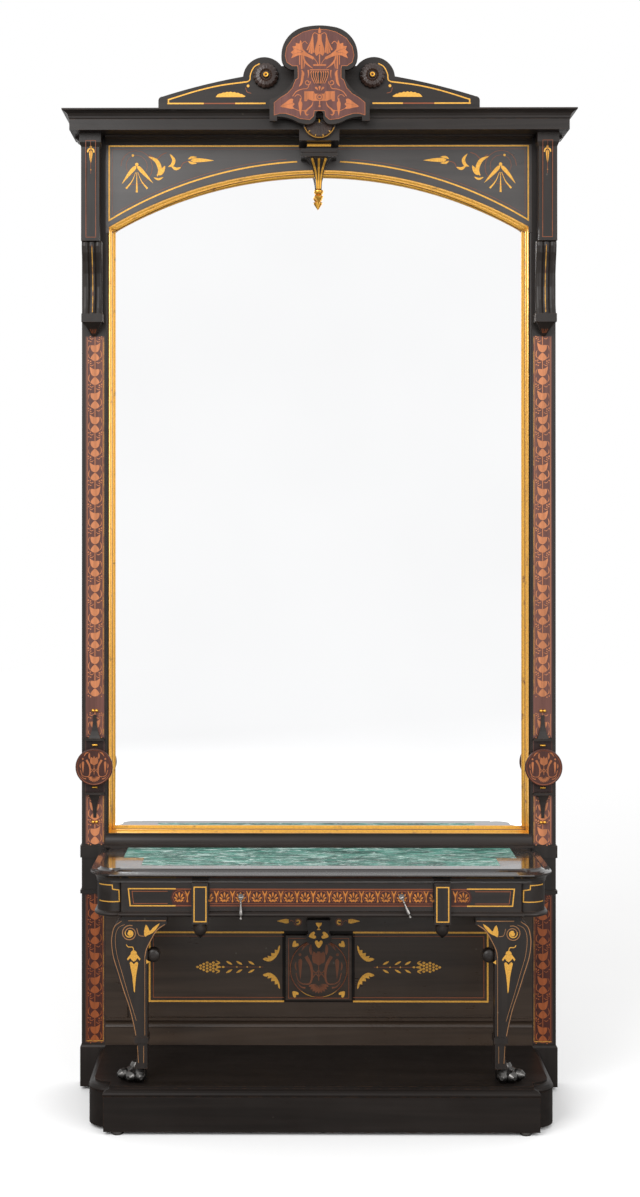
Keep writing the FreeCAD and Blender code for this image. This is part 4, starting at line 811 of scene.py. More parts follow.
def crest_middle(ink):
    """What stands on the centre line: finial, bell, stem, rim, fan and strapwork."""
    ink.stroke([(0, 3020), (0, 3027), (0, 3036)], 8, drop)
    bell = [(0, 3018), (5, 3016), (6, 3000), (12, 2980), (13.5, 2966), (9, 2956), (3, 2961)]
    ink.patch(mirrored(bell), 3)
    ink.line([(0, 2960), (0, 2932)], 3)
    ink.line([(-18, 2930), (18, 2930)], 4.5)
    ink.line([(-27, 2916.5), (27, 2916.5)], LIP_LINE)
    ink.stroke([(0, 2857), (0, 2866), (0, 2871)], 6, bud)
    strapwork = [
        (0, 2849), (13, 2849), (17, 2856), (43, 2856), (43, 2828), (36, 2828), (33, 2834), (20, 2829),
        (0, 2829),
    ]
    ink.patch(mirrored(strapwork), 0)
    ink.line([(0, 2829), (0, 2818)], 2.5)
    ink.dot(0, 2814, 3.2)


def crest_shading(ink):
    ink.ring(0, 2840, 8, 2).dot(0, 2840, 4).dot(0, 2985, 1.6)
    ink.stroke([(0, 2982), (0, 2966)], HAIR_LINE, leaf)
    for side in SIDES:
        ink.at(flip=side).dot(49, 2968, 1.8)
        ink.stroke([(50, 2970), (62, 2974), (76, 2979)], HAIR_LINE, taper)
        ink.stroke([(50, 2966), (62, 2965), (74, 2960)], 1.0, taper)
        ink.line([(16, 2852), (16, 2834)], 1.0).line([(38, 2852), (38, 2832)], 1.0)
        ink.stroke([(74, 2821), (86, 2820), (104, 2815)], 1.0, taper)


def inlay_crest():
    nodes = ("crest_top", "crest_body")
    ground = Inlay(*nodes, proud=GROUND_PROUD).patch(mirrored(CREST_BORDER), 0)
    ground.piece("crest_ground", "crest_ground")
    bowl = Inlay(*nodes, proud=LINE_PROUD).patch(mirrored(CREST_BOWL), 0)
    bowl.piece("crest_bowl", "ebony_cross")
    figure = Inlay(*nodes, proud=FIGURE_PROUD).line(mirrored(CREST_BORDER), HAIR_LINE, closed=True)
    crest_middle(figure)
    for side in SIDES:
        figure.at(flip=side)
        crest_flowers(figure)
        crest_urn(figure)
    figure.piece("crest_figure", "veneer_figure")
    cuts = Inlay(*nodes)
    crest_shading(cuts)
    cuts.piece("crest_shading", "veneer_ground")


# Pediment: gilt outline round the ear, a scalloped leaf, and the rosettes' buttons

PEDIMENT_FOOT = 2840.0
PEDIMENT_SLOPE = ((431, 2851), (350, 2876), (280, 2892), (205, 2902))
PEDIMENT_EAR = ((205, 2902), (198, 2908), (196, 2924), (186, 2944), (170, 2954))
PEDIMENT_BARS = ((434, 330), (240, 153))
BUTTON_RINGS = ((7.6, -1.0), (7.4, 1.4), (6.0, 2.6), (4.0, 2.4), (2.8, 0.6), (2.2, -1.0))
DROP_RINGS = ((0.0, -9.0), (3.4, -6.0), (4.6, 0.0), (3.6, 6.0), (1.4, 11.0), (0.0, 13.0))
DROP_SET_IN = 4.0
TURNING_STEPS = 32


def scalloped_leaf(ink, x0, x1, foot, height, bumps=7):
    run = x1 - x0
    top = []
    for i in range(bumps * 2 + 1):
        share = i / (bumps * 2)
        rise = height * math.sin(math.pi * (0.12 + 0.80 * share)) ** 0.7
        top.append((x0 + run * (0.06 + 0.88 * share), foot + rise * (1.0 if i % 2 else 0.86)))
    ink.patch([(x0, foot)] + top + [(x1, foot + height * 0.15), (x1 - run * 0.05, foot)], 0)


def inlay_pediments():
    foot = PEDIMENT_FOOT
    gilt, red = gilt_and_red("pediment_left", "pediment_right")
    for side in SIDES:
        at_all(gilt, red, flip=side)
        gilt.line([(431, foot)] + smooth(PEDIMENT_SLOPE), 3.8).line(smooth(PEDIMENT_EAR), 3.0)
        for x0, x1 in PEDIMENT_BARS:
            gilt.line([(x0, foot), (x1, foot)], GILT_LINE)
        red.line([(330, foot), (240, foot)], 3.4)
        scalloped_leaf(gilt, 296, 210, 2858, 16)
        gilt.dot(203, 2890, 4.2)
        red.stroke([(210, 2885), (206, 2873), (194, 2869)], FINE_LINE, even)
    gilt.piece("pediment_gilt", "gilt_line")
    red.piece("pediment_lines", "red_line")


def turned(mesh, centre, axis, rings):
    """Adds a solid turned about an axis through its rings of radius and height."""
    across = Vector((1, 0, 0))
    spots = [mesh.verts.new(centre + across * radius + axis * height) for radius, height in rings]
    runs = list(zip(spots, spots[1:]))
    # Rings that stay off the axis close on themselves.
    if rings[0][0]:
        runs.append((spots[-1], spots[0]))
    edges = [mesh.edges.new(pair) for pair in runs]
    bmesh.ops.spin(
        mesh, geom=spots + edges, cent=centre, axis=axis, angle=2 * math.pi, steps=TURNING_STEPS,
        use_merge=True,
    )
    bmesh.ops.remove_doubles(mesh, verts=mesh.verts, dist=LAYER)


def rosette_buttons():
    """A gilt collar with a hollow eye on each rosette."""
    low, high = corners("pediment_rosettes")
    across = high.x - (high.z - low.z) / 2
    mesh = bmesh.new()
    for side in SIDES:
        centre = Vector((side * across, low.y, (low.z + high.z) / 2))
        turned(mesh, centre, Vector((0, -1, 0)), BUTTON_RINGS)
    finished(mesh, "rosette_buttons", "gilding")


def shell_drop():
    """The gilt drop where the flutes of the shell meet."""
    low, high = corners("shell")
    mesh = bmesh.new()
    turned(mesh, Vector((0, low.y + DROP_SET_IN, high.z)), Vector((0, 0, 1)), DROP_RINGS)
    finished(mesh, "shell_drop", "gilding")


# Keystone: gilt bar, ribs that run down the bracket, and the shell's rim and flutes

BAR_PROUD = 1.0
RIB_PROUD = 2.6
RIB_WIDTH = 6.5
FLUTE_PROUD = 1.4
FLUTE_WIDTH = 6.4
FLUTES = 9
FLUTE_ANGLES = (196, 344)
FLUTE_INSET = 9.0
RIM_ANGLES = (200, 340)
RIM_INSET = 3.0
RIM_DROPS = 4
RIM_DROP_ANGLES = (222, 318)
KEY_BAR = ((-34, 2716), (-34, 2723))
RIB_LINES = (
    ((-20, 2684), (-13.5, 2666), (-8.5, 2647), (-6, 2627), (-4.6, 2603)),
    ((0, 2684), (0, 2660), (0, 2630), (0, 2603)),
    ((20, 2684), (13.5, 2666), (8.5, 2647), (6, 2627), (4.6, 2603)),
)


def inlay_keystone():
    Inlay("keystone", proud=BAR_PROUD).patch(mirrored(KEY_BAR), 0).piece("keystone_bar", "gilding")
    ribs = Inlay("keystone", proud=RIB_PROUD)
    for run in RIB_LINES:
        ribs.stroke(run, RIB_WIDTH, sloped(1.0, 0.55), 8)
    ribs.piece("keystone_ribs", "gilding")
    low, high = corners("shell")
    rim = Inlay("shell").line(arc(0, high.z, high.x - RIM_INSET, *RIM_ANGLES, 36), 2.8)
    rim.fan(0, high.z, high.x - RIM_INSET - 1, 2.6, RIM_DROPS, *RIM_DROP_ANGLES, 0.80)
    rim.piece("shell_gilt", "gilt_line")
    flutes = Inlay("shell", proud=FLUTE_PROUD)
    flutes.fan(0, high.z, high.x - FLUTE_INSET, FLUTE_WIDTH, FLUTES, *FLUTE_ANGLES, 0.12)
    flutes.piece("shell_flutes", "carved_wood")


# Pilaster strips: a climbing stem with tulips and bells. It stops at the console's shoulder,
# at the plain ground behind each round plate and at a bare stretch above that.

STRIP_X = 648.0
STRIP_HALF = 26.0
STRIP_LINE_HALF = 22.5
STRIP_GILT_OFFSET = 2.8
MOTIF_RISE = 71.0
MOTIF_WIDTH = 1.12
SHOULDER_LOW = 565.0
SHOULDER_HIGH = 708.0
PLAIN_LOW = 850.0
PLAIN_HIGH = 1018.0
BARE_LOW = 1089.0
BARE_HIGH = 1137.0
RUN_FOOT_GAP = 6.0
RUN_TOP_GAP = 3.0
END_GAP = 4.0


def strip_motif(ink, x, z, lean):
    """One step of the climbing stem: leaning tulip, bell, leaves and berries."""
    ink.at(x=x, z=z, flip=lean * MOTIF_WIDTH)
    ink.patch([
        (0, -12), (8, -8), (11.5, 0), (14, 17), (8, 12), (2, 9.5), (-4, 9), (-11, 9), (-11, 0), (-7, -8),
    ], 2)
    ink.patch(mirrored([(0, -13), (5, -17), (10.5, -25), (10, -31), (5, -35), (0, -36)]), 2)
    ink.line([(0, 10), (0, 40)], 2.0)
    ink.stroke([(10, -31), (16, -23), (16, -12), (13, -5)], 2.4, leaf)
    ink.stroke([(-10, -31), (-16, -24), (-16, -14)], 1.8, leaf)
    ink.stroke([(-12, 10), (-16, 4), (-17, -8)], 1.8, leaf)
    ink.stroke([(2, 24), (9, 19), (15, 23)], 2.0, leaf)
    ink.stroke([(-2, 31), (-9, 27), (-15, 32)], 2.0, leaf)
    berries = [(11, 26), (16, 28), (12, 32), (17, 34), (-17, -34), (17, -36), (-11, -37)]
    if lean > 0:
        berries += [(-11, 20), (-16, 22), (-12, 35)]
    for across, up in berries:
        ink.dot(across, up, 1.8, 8)


def strip_run(figure, gilt, side, foot, top):
    """A stretch of the strip with as many whole motifs as suit it, between its edge lines."""
    count = round((top - foot) / MOTIF_RISE)
    step = (top - foot) / count
    for i in range(count):
        strip_motif(figure, side * STRIP_X, foot + step * (i + 0.5), side if i % 2 else -side)
    at_all(figure, gilt, x=side * STRIP_X, flip=side)
    near, far = foot + RUN_FOOT_GAP, top - RUN_TOP_GAP
    for across in (-STRIP_LINE_HALF, STRIP_LINE_HALF):
        figure.line([(across, near), (across, far)], HAIR_LINE)
    across = -STRIP_LINE_HALF - STRIP_GILT_OFFSET
    gilt.line([(across, near), (across, far)], HAIR_LINE)


def strip_ground(node, side, foot, top, name):
    ground = Inlay(node, proud=GROUND_PROUD).at(x=side * STRIP_X)
    ground.patch(mirrored([(STRIP_HALF, top), (STRIP_HALF, foot)]), 0)
    ground.piece(f"{node}_{name}", f"{name}_ground")


def inlay_strips():
    for side, node in zip(SIDES, both("marquetry_strip")):
        low, high = corners(node)
        gilt = Inlay(node)
        figure = Inlay(node, proud=FIGURE_PROUD)
        for foot, top in ((SHOULDER_HIGH, PLAIN_LOW), (PLAIN_HIGH, BARE_LOW), (BARE_HIGH, high.z)):
            strip_run(figure, gilt, side, foot, top)
        figure.piece(f"{node}_figure", "strip_figure")
        low_figure = Inlay(node, proud=FIGURE_PROUD)
        strip_run(low_figure, gilt, side, low.z, SHOULDER_LOW - END_GAP)
        low_figure.piece(f"{node}_low_figure", "low_figure")
        half, foot = STRIP_HALF - 1, low.z + END_GAP
        gilt.line([(-half, foot), (half, foot)], LIP_LINE)
        gilt.piece(f"{node}_gilt", "worn_gilt")
        strip_ground(node, side, PLAIN_LOW, PLAIN_HIGH, "plain")
        strip_ground(node, side, low.z + END_GAP / 4, SHOULDER_LOW - END_GAP / 2, "low")


# Roundels and the plaque's disc share one design

ROUNDEL_SCALE = 0.96
ROUNDEL_RIM = 49.5
PLAQUE_SCALE = 1.6


def disc_half(ink):
    ink.stroke([(14, 44), (14.5, 34), (13.5, 24)], 5.6, leaf)
    ink.stroke([(16, 45), (24, 42), (31, 32)], 3.6, leaf)
    ink.dot(34, 25, 2.8)
    ink.stroke([(33, 18), (33.5, 4), (33, -19)], 7, drop)
    ink.stroke([(23, 22), (14, 5), (12, -13), (16, -27), (29, -28)], 6.4, taper)
    ink.stroke([(29, -28), (37, -22), (41, -8)], 1.8, even)
    ink.stroke([(0, -3), (5, -8), (11, -3)], FINE_LINE, even)
    ink.stroke([(0, -15), (5, -10), (11, -17)], FINE_LINE, even)
    ink.stroke([(41, 12), (42, 4), (40, -4)], 3, leaf)
    ink.stroke([(24, -35), (32, -33), (39, -25)], 3.2, taper)


def disc_design(ink, x, z, scale):
    for side in SIDES:
        disc_half(ink.at(x=x, z=z, scale=scale, flip=side))
    ink.at(x=x, z=z, scale=scale)
    ink.patch(mirrored([(0, 34), (4, 27), (9.5, 31), (12, 20), (10, 11), (5, 9), (0, 5)]), 2)
    ink.line([(0, 4), (0, -22)], FINE_LINE)
    ink.fan(0, -26, 19, 4.4, 9, 200, 340)


def inlay_roundels():
    for node in both("roundel"):
        low, high = corners(node)
        middle = (low + high) / 2
        figure = Inlay(node, proud=FIGURE_PROUD)
        disc_design(figure, middle.x, middle.z, ROUNDEL_SCALE)
        figure.piece(f"{node}_figure", "roundel_figure")
        red = Inlay(node, proud=LINE_PROUD).ring(middle.x, middle.z, ROUNDEL_RIM, LIP_LINE, 64)
        red.piece(f"{node}_rim", "red_line")


# Apron: a band of palmettes across the drawer and its fixed ends

PALMETTE_STEP = 43.55
PALMETTE_FOOT = 615.5
PALMETTE_HUB = 5.0
PALMETTE_RISE = 9.0
PALMETTE_RADIUS = 14.0
PALMETTE_START = -25.0
PALMETTE_SPREAD = 230.0
LAST_LOBE = 8
LAST_FIGURE = 13
END_FIGURES = (17, 18)
BAND_FOOT = 604.0
BAND_TOP = 653.0
BAND_EDGE = 2.0
DRAWER_REACH = 301.0
END_SHIFT = 8.5
END_GROUND = ((351, BAND_FOOT), (351, BAND_TOP), (399, BAND_TOP), (407, 628), (399, BAND_FOOT))
END_RED = ((415, 645), (511, 645), (507, 612), (415, 612))
END_GILT = ((393, 652), (521, 652), (516, 606), (393, 606))
TURRET_GILT = ((602, 661), (565, 661), (564, 650), (547, 647), (546, 616), (602, 616))
TURRET_STEPS = 12
BLOCK_X = 326.75
BLOCK_FRAME = (-16, 16, 566, 659)


def palmette(ink, first=0, last=LAST_LOBE):
    """Lobes that spread from a low hub and end on a circle above it."""
    for i in range(first, last + 1):
        angle = math.radians(PALMETTE_START + PALMETTE_SPREAD * i / LAST_LOBE)
        offset = PALMETTE_RISE * math.cos(angle)
        reach = PALMETTE_RISE * math.sin(angle) + math.sqrt(PALMETTE_RADIUS ** 2 - offset ** 2)
        ink.ray(0, PALMETTE_HUB, angle, reach * 0.3, reach, 4.7)
    ink.dot(0, PALMETTE_HUB, 3.2)


def lotus(ink):
    """A bud on a waisted stem, with two petals that open upward."""
    half = [(0, 23), (2.6, 27), (6.6, 32), (5, 24), (1.8, 16), (1.1, 8), (2.6, 2), (0, 0)]
    ink.patch(mirrored(half), 2)


def band_figures(ink, arches, first, last, shift=0.0):
    """Palmettes under arches on the whole steps of the band, and buds on the half ones."""
    for k in range(first, last + 1):
        at_all(ink, arches, x=k / 2 * PALMETTE_STEP + shift, z=PALMETTE_FOOT)
        if k % 2:
            lotus(ink)
        else:
            palmette(ink)
            arches.line(arc(0, 14, 17.2, -50, 230, 28), REED_LINE)


def inlay_drawer():
    reach = DRAWER_REACH
    ground = Inlay("drawer_front", proud=GROUND_PROUD)
    ground.patch(mirrored([(reach, BAND_TOP), (reach, BAND_FOOT)]), 0)
    ground.piece("drawer_ground", "band_ground", "drawer")
    figure = Inlay("drawer_front", proud=FIGURE_PROUD)
    lines = Inlay("drawer_front", proud=LINE_PROUD)
    band_figures(figure, lines, -LAST_FIGURE, LAST_FIGURE)
    edge = (LAST_FIGURE + 1) / 2 * PALMETTE_STEP
    for side in SIDES:
        palmette(figure.at(x=side * edge, z=PALMETTE_FOOT, flip=-side), 0, 3)
    lines.at()
    for z, width in (
        (BAND_TOP - BAND_EDGE, EDGE_LINE), (BAND_TOP - 7, HAIR_LINE),
        (BAND_FOOT + 8, HAIR_LINE), (BAND_FOOT + BAND_EDGE, EDGE_LINE),
    ):
        lines.line([(-reach, z), (reach, z)], width)
    figure.piece("drawer_palmettes", "palmette_figure", "drawer")
    lines.piece("drawer_lines", "red_line", "drawer")


def inlay_apron_ends():
    nodes = both("apron_end")
    ground = Inlay(*nodes, proud=GROUND_PROUD)
    figure = Inlay(*nodes, proud=FIGURE_PROUD)
    gilt, lines = gilt_and_red(*nodes)
    for side in SIDES:
        ground.at(flip=side).patch(END_GROUND, 0)
        band_figures(figure, lines, *sorted(side * k for k in END_FIGURES), -side * END_SHIFT)
        lines.at(flip=side)
        for z in (BAND_TOP - BAND_EDGE, BAND_FOOT + BAND_EDGE):
            lines.line([(351, z), (421, z)], EDGE_LINE)
        lines.line(END_RED, FINE_LINE)
        gilt.at(flip=side).line(END_GILT, 3.2).line(stepped(TURRET_GILT, TURRET_STEPS), 2.8)
    ground.piece("apron_ground", "band_ground")
    figure.piece("apron_palmettes", "palmette_figure")
    lines.piece("apron_lines", "red_line")
    gilt.piece("apron_gilt", "gilt_line")
    blocks = Inlay("apron_blocks")
    for side in SIDES:
        blocks.at(x=side * BLOCK_X).border(*BLOCK_FRAME, 3.0)
    blocks.piece("block_gilt", "gilt_line")


# Legs: outlines that follow the scroll, a spiral, a leaf and a hanging flower

LEG_OUTER = (
    (541, 560), (560, 545), (567, 520), (568, 497), (563, 462), (550, 420), (535, 372), (520, 328),
    (509, 285), (502, 250),
)
LEG_INNER = (
    (532, 551), (550, 541), (558, 515), (554, 470), (540, 420), (524, 365), (510, 320), (501, 290),
)


def leg_lines(red):
    red.stroke(LEG_OUTER, 1.8, even)
    red.stroke(LEG_INNER, 1.1, even)
    red.line([(523, 561), (421, 561)], LIP_LINE)
    red.stroke([(424, 551), (446, 535), (462, 508), (474, 483), (478, 462)], 2.0, even)
    red.line([(478, 462), (478, 250)], FINE_LINE * 0.8)
    for x, foot in ((498, 495), (481, 481)):
        red.line([(x, 222), (foot, 176)], HAIR_LINE)


def leg_flowers(gilt, red):
    red.line(spiral(519, 527, 22, 12, -1.3, 110), EDGE_LINE)
    gilt.line(spiral(519, 527, 13, 5, -0.9, 20), 5.2, sloped(0.4, 1.0))
    gilt.dot(519, 526, 6.0, 14)
    gilt.patch([
        (478, 518), (480, 532), (475, 550), (468, 541), (464, 533), (455, 543), (438, 554), (446, 540),
        (457, 528), (470, 522),
    ], 2)
    red.stroke([(480, 519), (494, 522), (500, 540)], FINE_LINE, even)
    gilt.stroke([(528, 496), (523, 490), (511, 489), (508, 479)], EDGE_LINE, even)
    gilt.patch([(514, 478), (508, 481), (502, 478), (500, 471), (516, 471)], 2)
    gilt.patch([
        (517, 470), (499, 470), (490, 458), (492, 453), (498, 460), (502, 454), (508, 450), (513, 454),
        (518, 460), (524, 453), (526, 458),
    ], 0)
    gilt.patch([
        (519, 446), (513, 449), (508, 443), (502, 449), (496, 446), (501, 415), (504, 385), (505, 368),
        (508, 372), (512, 412),
    ], 2)
    gilt.patch([(474, 456), (466, 449), (474, 444)], 0)


def inlay_legs():
    for side, node in zip(SIDES, both("leg")):
        gilt, red = gilt_and_red(node)
        at_all(gilt, red, flip=side)
        leg_lines(red)
        leg_flowers(gilt, red)
        gilt.piece(f"{node}_gilt", "gilt_line")
        red.piece(f"{node}_lines", "stringing")


# Back panel: gilt frame, cones on leafy stems, the plaque and its trefoil

PANEL_HALF = 490.0
PANEL_TOP = 451.0
PANEL_FOOT = 251.5
PANEL_MIDDLE = 350.6
PLAQUE_EDGE = 100.0
CONE_SCALES = ((351, 1), (342, 2), (333, 3), (323, 4), (314, 3), (305, 4))
CONE_STEP = 8.4
PANEL_LEAF = (
    (112, 63), (113, 50), (118, 37), (127, 25), (139, 17), (150, 17), (162, 23), (152, 28), (145, 25),
    (148, 33), (136, 31), (138, 41), (127, 40), (127, 50), (119, 49), (117, 58),
)
PLAQUE_RING = 82.0
PLAQUE_ARCS = ((230, 262), (278, 310))
PLAQUE_LINE_INSET = 8.0
PLAQUE_LINE_FOOT = 6.0
SIDE_LEAF_INSET = 11.0
SIDE_LEAF_ENDS = (376, 330)
CORNER_HEART = 9.0
CORNER_HEART_X = 69.0
TOP_HEART_DROP = 26.0
LOW_HEART_RISE = 19.0
# Offset of the painted shadow frame round the plaque
PLAQUE_SHADOW_FRAME = 4.0


def pine_cone(gilt):
    # Drawn about the stem, with its tip outward.
    for x, count in CONE_SCALES:
        for i in range(count):
            up = (i - (count - 1) / 2) * CONE_STEP
            gilt.stroke([(x + 4.4, up), (x - 4.4, up)], 7.0, leaf, 6)
    for up in SIDES:
        gilt.stroke([(290, up * 2), (299, up * 7), (288, up * 12), (298, up * 19)], 5, leaf)
    gilt.stroke([(298, 0), (290, 0), (282, 0)], 6, leaf)
    gilt.stroke([(281, 0), (272, 0)], 6, leaf)


def panel_spray(gilt, red):
    red.line([(272, 0), (160, 0)], HAIR_LINE)
    for x in (237, 207, 170):
        gilt.dot(x, 0, 2.2, 8)
    for up in SIDES:
        for x in (259, 230, 195):
            gilt.stroke([(x + 9, up * 17), (x, up * 12), (x - 9, up * 7)], 6, leaf, 4)
        gilt.patch([(x, up * z) for x, z in PANEL_LEAF], 2)


def panel_corner(gilt, red):
    """A small spiral with an arrow bud above the gilt frame."""
    red.line(spiral(60, 482, 12, 7, -1.1, -20), FINE_LINE)
    gilt.line(spiral(60, 482, 7, 3, -0.8, -60), GILT_LINE)
    gilt.stroke([(86, 483), (100, 484), (120, 484)], 13, drop)
    gilt.stroke([(86, 489), (90, 484), (86, 478)], 4, leaf)
    red.stroke([(84, 483), (78, 486), (72, 481)], FINE_LINE, even)


def panel_frame(ink, inset, width):
    half = PANEL_HALF - inset
    top, foot = PANEL_TOP - inset, PANEL_FOOT + inset
    ink.line([(PLAQUE_EDGE, top), (half, top), (half, foot), (PLAQUE_EDGE, foot)], width)


def inlay_panel():
    gilt, red = gilt_and_red("back_panel")
    for side in SIDES:
        at_all(gilt, red, flip=side)
        panel_frame(gilt, 0, 5)
        panel_frame(red, LINE_GAP + 2, FINE_LINE)
        panel_corner(gilt, red)
        at_all(gilt, red, z=PANEL_MIDDLE, flip=side)
        pine_cone(gilt)
        panel_spray(gilt, red)
    gilt.piece("panel_gilt", "gilt_line")
    red.piece("panel_lines", "red_line")


def heart(ink, x, z, size, turn):
    ink.at(x=x, z=z, scale=size, turn=turn)
    ink.patch(mirrored([(0, -1), (0.9, 0.1), (0.95, 0.8), (0.45, 1.0), (0, 0.55)]), 3)


def inlay_plaque():
    low, high = corners("plaque")
    figure = Inlay("plaque", proud=FIGURE_PROUD)
    disc_design(figure, 0, PANEL_MIDDLE, PLAQUE_SCALE)
    figure.piece("plaque_figure", "plaque_figure")
    gilt, red = gilt_and_red("plaque")
    red.ring(0, PANEL_MIDDLE, PLAQUE_RING, FINE_LINE, 72)
    half = high.x - PLAQUE_LINE_INSET
    red.border(-half, half, low.z + PLAQUE_LINE_FOOT, high.z - PLAQUE_LINE_INSET, REED_LINE)
    for side in SIDES:
        x = side * (high.x - SIDE_LEAF_INSET)
        gilt.at().line([(x, z) for z in SIDE_LEAF_ENDS], LIP_LINE, leaf)
        heart(gilt, side * CORNER_HEART_X, high.z - TOP_HEART_DROP, CORNER_HEART, side * 45)
        heart(gilt, side * CORNER_HEART_X, low.z + LOW_HEART_RISE, CORNER_HEART, side * 135)
    gilt.at()
    for start, end in PLAQUE_ARCS:
        gilt.line(arc(0, PANEL_MIDDLE, PLAQUE_RING, start, end, 14), EDGE_LINE, leaf)
    gilt.piece("plaque_gilt", "gilt_line")
    # Painted shadow: a black frame round the plaque stands in for the shade of the recess that it sits in.
    shadow_frame = Inlay("back_panel", proud=GROUND_PROUD)
    out = PLAQUE_SHADOW_FRAME
    shadow_frame.border(low.x - out, high.x + out, low.z - out, high.z + out, 3 * out)
    shadow_frame.piece("plaque_margin", "ebony_platform")
    red.piece("plaque_lines", "red_line")


def inlay_trefoil():
    gilt = Inlay("trefoil")
    for side in SIDES:
        heart(gilt, side * 19, 449, 10, side * 75)
    heart(gilt, 0, 424, 11, 0)
    stalk = [(0, 486), (9, 486), (7, 479), (2, 474), (1.2, 470), (5, 467), (5, 465), (0, 465)]
    gilt.at().patch(mirrored(stalk), 0).piece("trefoil_gilt", "gilt_line")


# Stage

CAMERA_PLACE = (-0.105, -5.039, 1.66)
CAMERA_YAW = 0.383
CAMERA_PITCH = 0.175
CAMERA_LENS = 53.99
CAMERA_SHIFT = (0.0415, -0.0739)
FLOOR_DULL = (0.895, 0.895, 0.895, 1.0)
FLOOR_PALE = (0.910, 0.910, 0.910, 1.0)
FLOOR_BOUNCE = (0.16, 0.155, 0.15, 1.0)
WHITE = (1.0, 1.0, 1.0, 1.0)
FLOOR_FADE = (2.0, 9.0)
FILL_SHARE = 0.5

# Place, aim and size of each light
LIGHTS = {
    "key": ((-2.6, -4.2, 4.2), (0, 0, 1.4), (3.0, 3.0)),
    "fill": ((3.2, -4.0, 2.6), (0, 0, 1.2), (3.0, 3.0)),
    "low": ((0, -2.2, 0.20), (0, 0.17, 0.36), (2.4, 0.3)),
}


def floor_sheet(size):
    """A floor that looks white, and throws only little light back onto the object."""
    mesh = bmesh.new()
    bmesh.ops.create_grid(mesh, x_segments=8, y_segments=8, size=size)
    board, shader, where = new_finish("pale_floor")
    away = board.node("ShaderNodeVectorMath", {0: where}, operation="LENGTH").outputs["Value"]
    clouds = board.blend(board.noise(where, 2.0), FLOOR_DULL, FLOOR_PALE)
    clouds = board.blend(board.spread(away, *FLOOR_FADE), clouds, WHITE)
    path = board.node("ShaderNodeLightPath").outputs
    seen = board.math("MAXIMUM", path["Is Camera Ray"], path["Is Singular Ray"])
    board.join(board.blend(seen, FLOOR_BOUNCE, clouds), shader, "Base Color")
    shader.inputs["Roughness"].default_value = 0.9
    shader.inputs["Specular IOR Level"].default_value = 0.0
    floor = made_of(mesh, "floor", bpy.data.materials["pale_floor"])


def soft_light(name, power):
    place, aim, size = LIGHTS[name]
    light = bpy.data.lights.new(name, "AREA")
    light.shape = "RECTANGLE"
    light.size, light.size_y = size
    light.energy = power
    lamp = linked(name, light)
    lamp.location = place
    lamp.rotation_euler = (Vector(aim) - Vector(place)).to_track_quat("-Z", "Y").to_euler()


def white_surround(strength):
    world = bpy.data.worlds.new("studio")
    world.use_nodes = True
    background = world.node_tree.nodes["Background"]
    background.inputs["Color"].default_value = WHITE
    background.inputs["Strength"].default_value = strength
    bpy.context.scene.world = world


def studio_camera():
    camera = bpy.data.cameras.new("camera")
    camera.lens = CAMERA_LENS
    camera.shift_x, camera.shift_y = CAMERA_SHIFT
    holder = linked("camera", camera)
    turn = Matrix.Rotation(math.radians(CAMERA_YAW), 4, "Z")
    turn = turn @ Matrix.Rotation(math.radians(90 + CAMERA_PITCH), 4, "X")
    holder.matrix_world = Matrix.Translation(CAMERA_PLACE) @ turn
    bpy.context.scene.camera = holder


# Settings and operators

def colour(label, value, about):
    return bpy.props.FloatVectorProperty(
        name=label, description=about, subtype="COLOR", size=3, min=0.0, max=1.0, default=value,
    )


def amount(label, value, about, unit="NONE", low=0.0):
    return bpy.props.FloatProperty(name=label, description=about, unit=unit, default=value, min=low)


